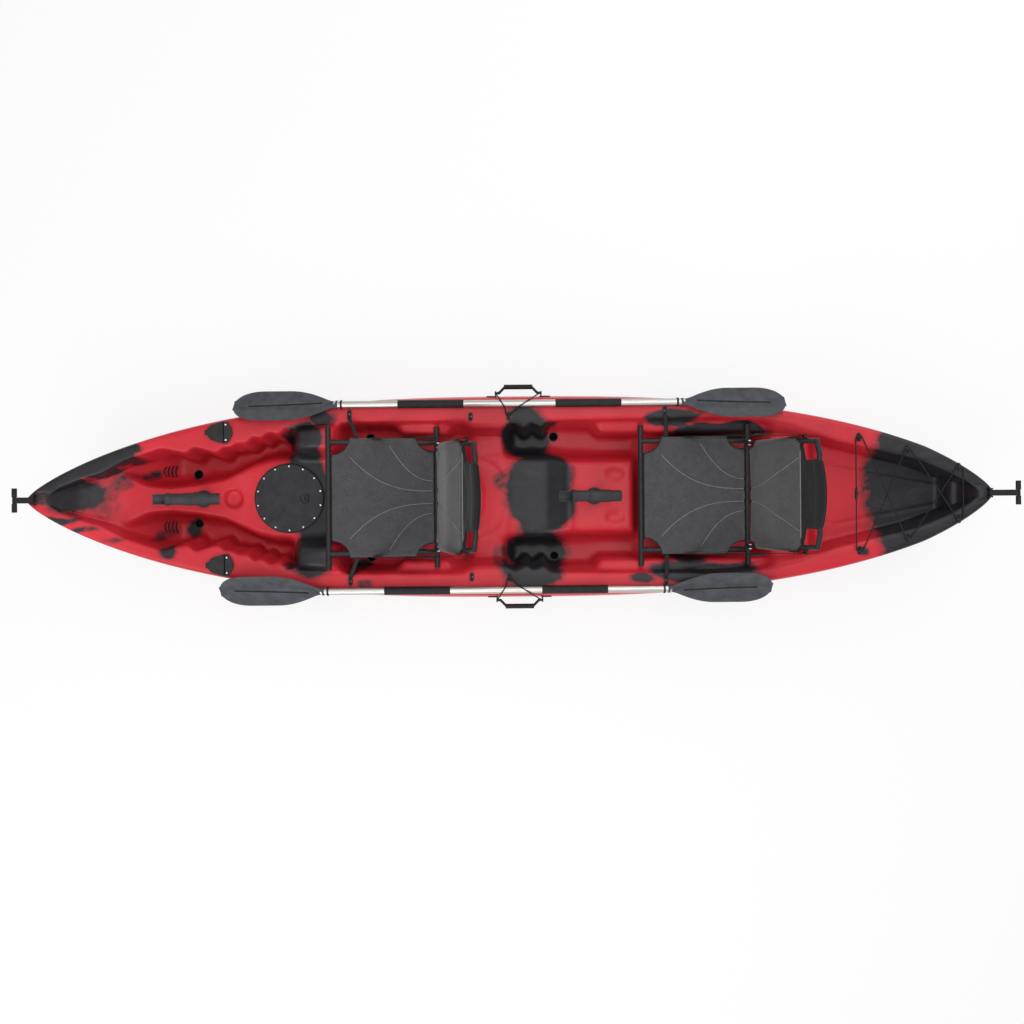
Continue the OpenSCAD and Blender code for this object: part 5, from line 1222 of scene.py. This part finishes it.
def side_straps(seat):
    """Webbing from the base to the back on both sides, with a ladder buckle and its loose tail."""
    g = Gather()
    for s in (1, -1):
        low = seat.rail(STRAP_LOW_T) + np.array((0.0, PAD_HALF + STRAP_T / 2 + 0.4, 4.0))
        top_y = BACK_RAIL_Y + BACK_R + 6 + STRAP_T / 2 + 0.4
        high = seat.back(mix(BACK_BEND, BACK_TOP, STRAP_TOP), top_y)
        run = high - low
        bare = np.array((run[0], 0.0, run[2])) / math.hypot(run[0], run[2])
        across = np.array((-bare[2], 0.0, bare[0]))
        flip = np.array((1.0, s, 1.0))

        def on_strap(f, lift=0.0):
            sag = across * STRAP_SAG * math.sin(math.pi * f)
            return (mix(low, high, f) - sag + np.array((0.0, lift, 0.0))) * flip * MM

        line = [on_strap(f) for f in np.linspace(0.0, 1.0, 41)]
        g.add(*ribbon(line, across, STRAP_W * MM, STRAP_T * MM))
        # The doubled end runs back down from the buckle
        tail = []
        for u in np.linspace(0.0, 1.0, 17):
            tail.append(on_strap(mix(0.34, 0.64, u), STRAP_T + 0.8 + 1.6 * math.sin(math.pi * u)))
        g.add(*ribbon(tail, across, (STRAP_W - 4) * MM, STRAP_T * 0.8 * MM))
        axes = (bare, np.array((0.0, 1.0, 0.0)), across)
        proud = STRAP_T + 1.2
        for f in (0.585, 0.625, 0.665):
            size = (5.0 * MM, 5.0 * MM, (STRAP_W + 8) * MM)
            g.add(*bar_box(on_strap(f, proud), axes, size), 1)
        for e in (1, -1):
            beside = STRAP_SAG - e * (STRAP_W + 5) / 2
            at = mix(low, high, 0.625) - across * beside + np.array((0.0, proud, 0.0))
            g.add(*bar_box(at * flip * MM, axes, (40.0 * MM, 5.0 * MM, 4.5 * MM)), 1)
        # Loose end hanging from the buckle
        start = mix(low, high, 0.6) + np.array((0.0, STRAP_T + 5.0, 0.0)) - across * (STRAP_W / 2)
        hang = [start + np.array((2.0 * k, 1.5 * math.sin(k * 0.7), -6.5 * k)) for k in range(9)]
        g.add(*ribbon([p * flip * MM for p in smooth_path(hang, 3)], (1.0, 0.0, 0.0), 20 * MM, 1.8 * MM))
        # Rivets through the rail and the sling
        rail_side = BACK_RAIL_Y - 6 * STRAP_TOP / 0.86 + BACK_R
        pin = [np.array((high[0], y, high[2])) * flip * MM for y in (rail_side + 0.4, top_y + 2.2)]
        g.add(*tube(pin, 5.0 * MM, 14), 1)
        cap = [np.array((high[0], y, high[2])) * flip * MM for y in (top_y + 1.4, top_y + 3.4)]
        g.add(*tube(cap, 8.0 * MM, 16), 1)
    obj = g.make(f"{seat.name}_seat_webbing", [M["web"], M["fitting"]], body=None, slot="webbing")
    tidy_normals(obj)
    start = seat.rail(STRAP_LOW_T) * MM
    end = seat.back(mix(BACK_BEND, BACK_TOP, STRAP_TOP), 0.0) * MM
    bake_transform(obj)
    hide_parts(f"{seat.name}_seat_straps")
    return obj


EYE_ARCH, EYE_T, EYE_LIFT, CORD_R, SCREW_HEAD = 13.0, 4.0, 0.6, 2.5, 2.2


def eye_foot(x, y):
    z = sheer(x)
    return np.array((x + rake(x, z), y, z + EYE_LIFT))


def tethers(seats):
    """Webbing from each base out to the eye on the gunwale beside it."""
    g = Gather()
    for seat, eye, t in ((seats[0], (-692, 342), 0.26), (seats[1], (600, 347), 0.24)):
        a = seat.rail(t)
        e = eye_foot(*eye) + np.array((0.0, -EYE_ARCH - 1.8, EYE_T + 6.5))
        far = np.array((a[0], PAD_HALF + 12, a[2] + 12))
        near = [(a[0], PAD_HALF + 1.8, a[2] - 6), (a[0], PAD_HALF + 5, a[2] + 4)]
        line = smooth_path(near + [mix(far, e, 0.5), e], 8)
        for s in (1, -1):
            flip = np.array((1.0, s, 1.0))
            g.add(*ribbon([p * flip * MM for p in line], (1.0, 0.0, 0.0), 17 * MM, STRAP_T * MM))
    obj = g.make("seat_tether_webbing", [M["web"]], body="boat", slot="webbing")
    tidy_normals(obj)
    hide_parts("seat_tethers")
    return obj


# Cords
CORD_OVER = EYE_T + SCREW_HEAD + CORD_R + 1.8
LACE = [(1384, 230), (1576, 180), (1796, 104)]
HOOK_LEN = 44.0


def lace_turn(i, s):
    p = eye_foot(LACE[i][0], s * LACE[i][1]) + np.array((0.0, 0.0, CORD_OVER))
    return [p + np.array((x, y * s, 0)) for x, y in ((-15, -10), (-7, -1.5), (7, -1.5), (15, -10))]


def cord_piece(name, points, node, slot="cord", body="boat"):
    """A round cord along points."""
    line = smooth_path(points, 6) * MM
    verts, faces = tube(line, CORD_R * MM, 12)
    obj = new_object(name, verts, faces, [M["cord"]], body=body, slot=slot)
    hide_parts(node)
    return obj


def tank_cord():
    a, b, c = lace_turn(0, 1), lace_turn(1, -1), lace_turn(2, 1)
    d, e, f = lace_turn(2, -1)[::-1], lace_turn(1, 1)[::-1], lace_turn(0, -1)[::-1]
    lift = np.array((0.0, 0.0, 2 * CORD_R + 1))
    h = np.array((0.0, HOOK_LEN / 2 - 4, 0.0))
    middle = np.array((a[0][0], 0.0, a[0][2]))
    route = [middle + h, mix(middle, a[0], 0.5)] + a + [mix(a[3], b[0], 0.4), mix(a[3], b[0], 0.6)] + b
    route += [mix(b[3], c[0], 0.4), mix(b[3], c[0], 0.6)] + c + [mix(c[3], d[0], 0.5)] + d
    route += [mix(d[3], e[0], 0.4) + lift, mix(d[3], e[0], 0.6) + lift] + e
    route += [mix(e[3], f[0], 0.4) + lift, mix(e[3], f[0], 0.6) + lift] + f
    route += [mix(f[3], middle, 0.5), middle - h]
    cord_piece("tank_well_bungee", route, "tank_bungee")


HANDLE_LEN, BRACKET_HALF, HANDLE_Z, HANDLE_OUT = 220.0, 14.0, 268.0, 17.0
HULL_SIDE_Y = 412.44
KEEPER_EYE = (-40, 330)


def keeper_leg(x0, paddle_z):
    pin_y = HULL_SIDE_Y + HANDLE_OUT
    foot = np.array((x0, pin_y, HANDLE_Z + 8 + CORD_R + 0.4))
    eye = eye_foot(*KEEPER_EYE) + np.array((0.0, 4.0, CORD_OVER))
    r = SHAFT_R + CORD_R + 1.2

    def at(y, z):
        return np.array((mix(x0, eye[0], (y - foot[1]) / (eye[1] - foot[1])), y, z))

    over = [math.radians(66 - 22 * k) for k in range(7)]
    return ([foot, at(pin_y - 6, foot[2] + 16), at(PADDLE_Y + r + 2, paddle_z + 2)]
            + [at(PADDLE_Y + r * math.sin(a), paddle_z + r * math.cos(a)) for a in over]
            + [at(PADDLE_Y - r - 4, paddle_z + 2), eye + np.array((-12.0 if x0 < 0 else 12.0, 8.0, 1.0))])


def keeper(side, sign, paddle_z):
    x0 = -HANDLE_LEN / 2 + BRACKET_HALF + 2
    eye = eye_foot(*KEEPER_EYE) + np.array((0.0, 0.0, CORD_OVER))
    route = keeper_leg(x0, paddle_z) + [eye + np.array((-5.0, 1.0, 0.0)), eye + np.array((5.0, 1.0, 0.0))]
    route += keeper_leg(-x0, paddle_z)[::-1]
    flip = np.array((1.0, sign, 1.0))
    obj = cord_piece(f"paddle_keeper_{side}", [p * flip for p in route], f"keeper_cord_{side}", body=None)
    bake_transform(obj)
    return obj


def end_loop(node, body):
    """The webbing loop of an end handle: round its pin, out to the toggle and back, sewn flat between."""
    joint = [j for j in frame["joints"] if j["child"] == body][0]
    pin = np.array(joint["pos_m"]) / MM
    low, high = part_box(f"{node}_toggle")
    grip = np.array(((low.x + high.x) / 2, 0.0, (low.z + high.z) / 2)) / MM
    reach = grip - pin
    far = np.linalg.norm(reach)
    out = reach / far
    up = np.array((0.0, 0.0, 1.0))
    g = Gather()
    r_pin, r_grip, flat = 5.4, 7.0, 1.5
    line = []
    for k in range(15):
        a = math.radians(50 + 260 * k / 14)
        line.append(pin + r_pin * (math.cos(a) * out + math.sin(a) * up))
    mid = [pin + out * far * f - up * flat for f in (0.28, 0.4, 0.5, 0.6, 0.7)]
    turn = []
    for k in range(15):
        a = math.radians(-130 + 260 * k / 14)
        turn.append(grip + r_grip * (math.cos(a) * out + math.sin(a) * up))
    back = [pin + out * far * f + up * flat for f in (0.7, 0.6, 0.5, 0.4, 0.28)]
    loop = smooth_path(line + mid + turn + back + [line[0]], 3)
    g.add(*ribbon([p * MM for p in loop], (0.0, 1.0, 0.0), 24 * MM, 2.2 * MM))
    obj = g.make(f"{node}_handle_webbing", [M["web"]], body=body, slot="webbing")
    tidy_normals(obj)
    # The pin that the webbing turns on
    rod = Gather()
    rod.add(*tube([(pin + np.array((0.0, y, 0.0))) * MM for y in (-18.5, 18.5)], 4.0 * MM, 20))
    axle = rod.make(f"{node}_handle_pin", [M["steel"]], body=body, slot="bright_steel")
    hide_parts(f"{node}_strap")
    return obj, axle


def drain_slots():
    """Four curved slots on the slope ahead of each front footwell, drawn as black strips on the slope:
    painted shade of the openings.
    """
    g = Gather()
    across = np.array((140.0, 0.0, -135.0)) / math.hypot(140.0, 135.0)
    for s in (1, -1):
        for k in range(4):
            line = []
            for u in np.linspace(-1.0, 1.0, 13):
                x = -1472 - 12 * k + 7 * u * u
                line.append(np.array((x, s * (116 + (28 - 2 * k) * u), look(x, FLOOR) + 2.6)) * MM)
            g.add(*ribbon(line, across, 7.0 * MM, 3.0 * MM))
    obj = g.make("footwell_slot_shade_strips", [M["scupper"]], body="boat", slot="hull_black")
    tidy_normals(obj)
    return obj


camera_and_light()
floor()
make_materials()
tank_cord()
for paddle, way in (("port", -1), ("stbd", 1)):
    keeper(paddle, way, shaft_middle(paddle)[1])
dress_nodes()
hull_piece()
drain_slots()
for paddle, way in (("port", -1), ("stbd", 1)):
    blades_piece(paddle, way, *shaft_middle(paddle))
front_seat, rear_seat = Seat("front"), Seat("rear")
for each in (front_seat, rear_seat):
    base_pad(each)
    base_trim(each)
    back_pad(each)
    back_trim(each)
    side_straps(each)
tethers((front_seat, rear_seat))
end_loop("bow", "bow_handle")
end_loop("stern", "stern_handle")
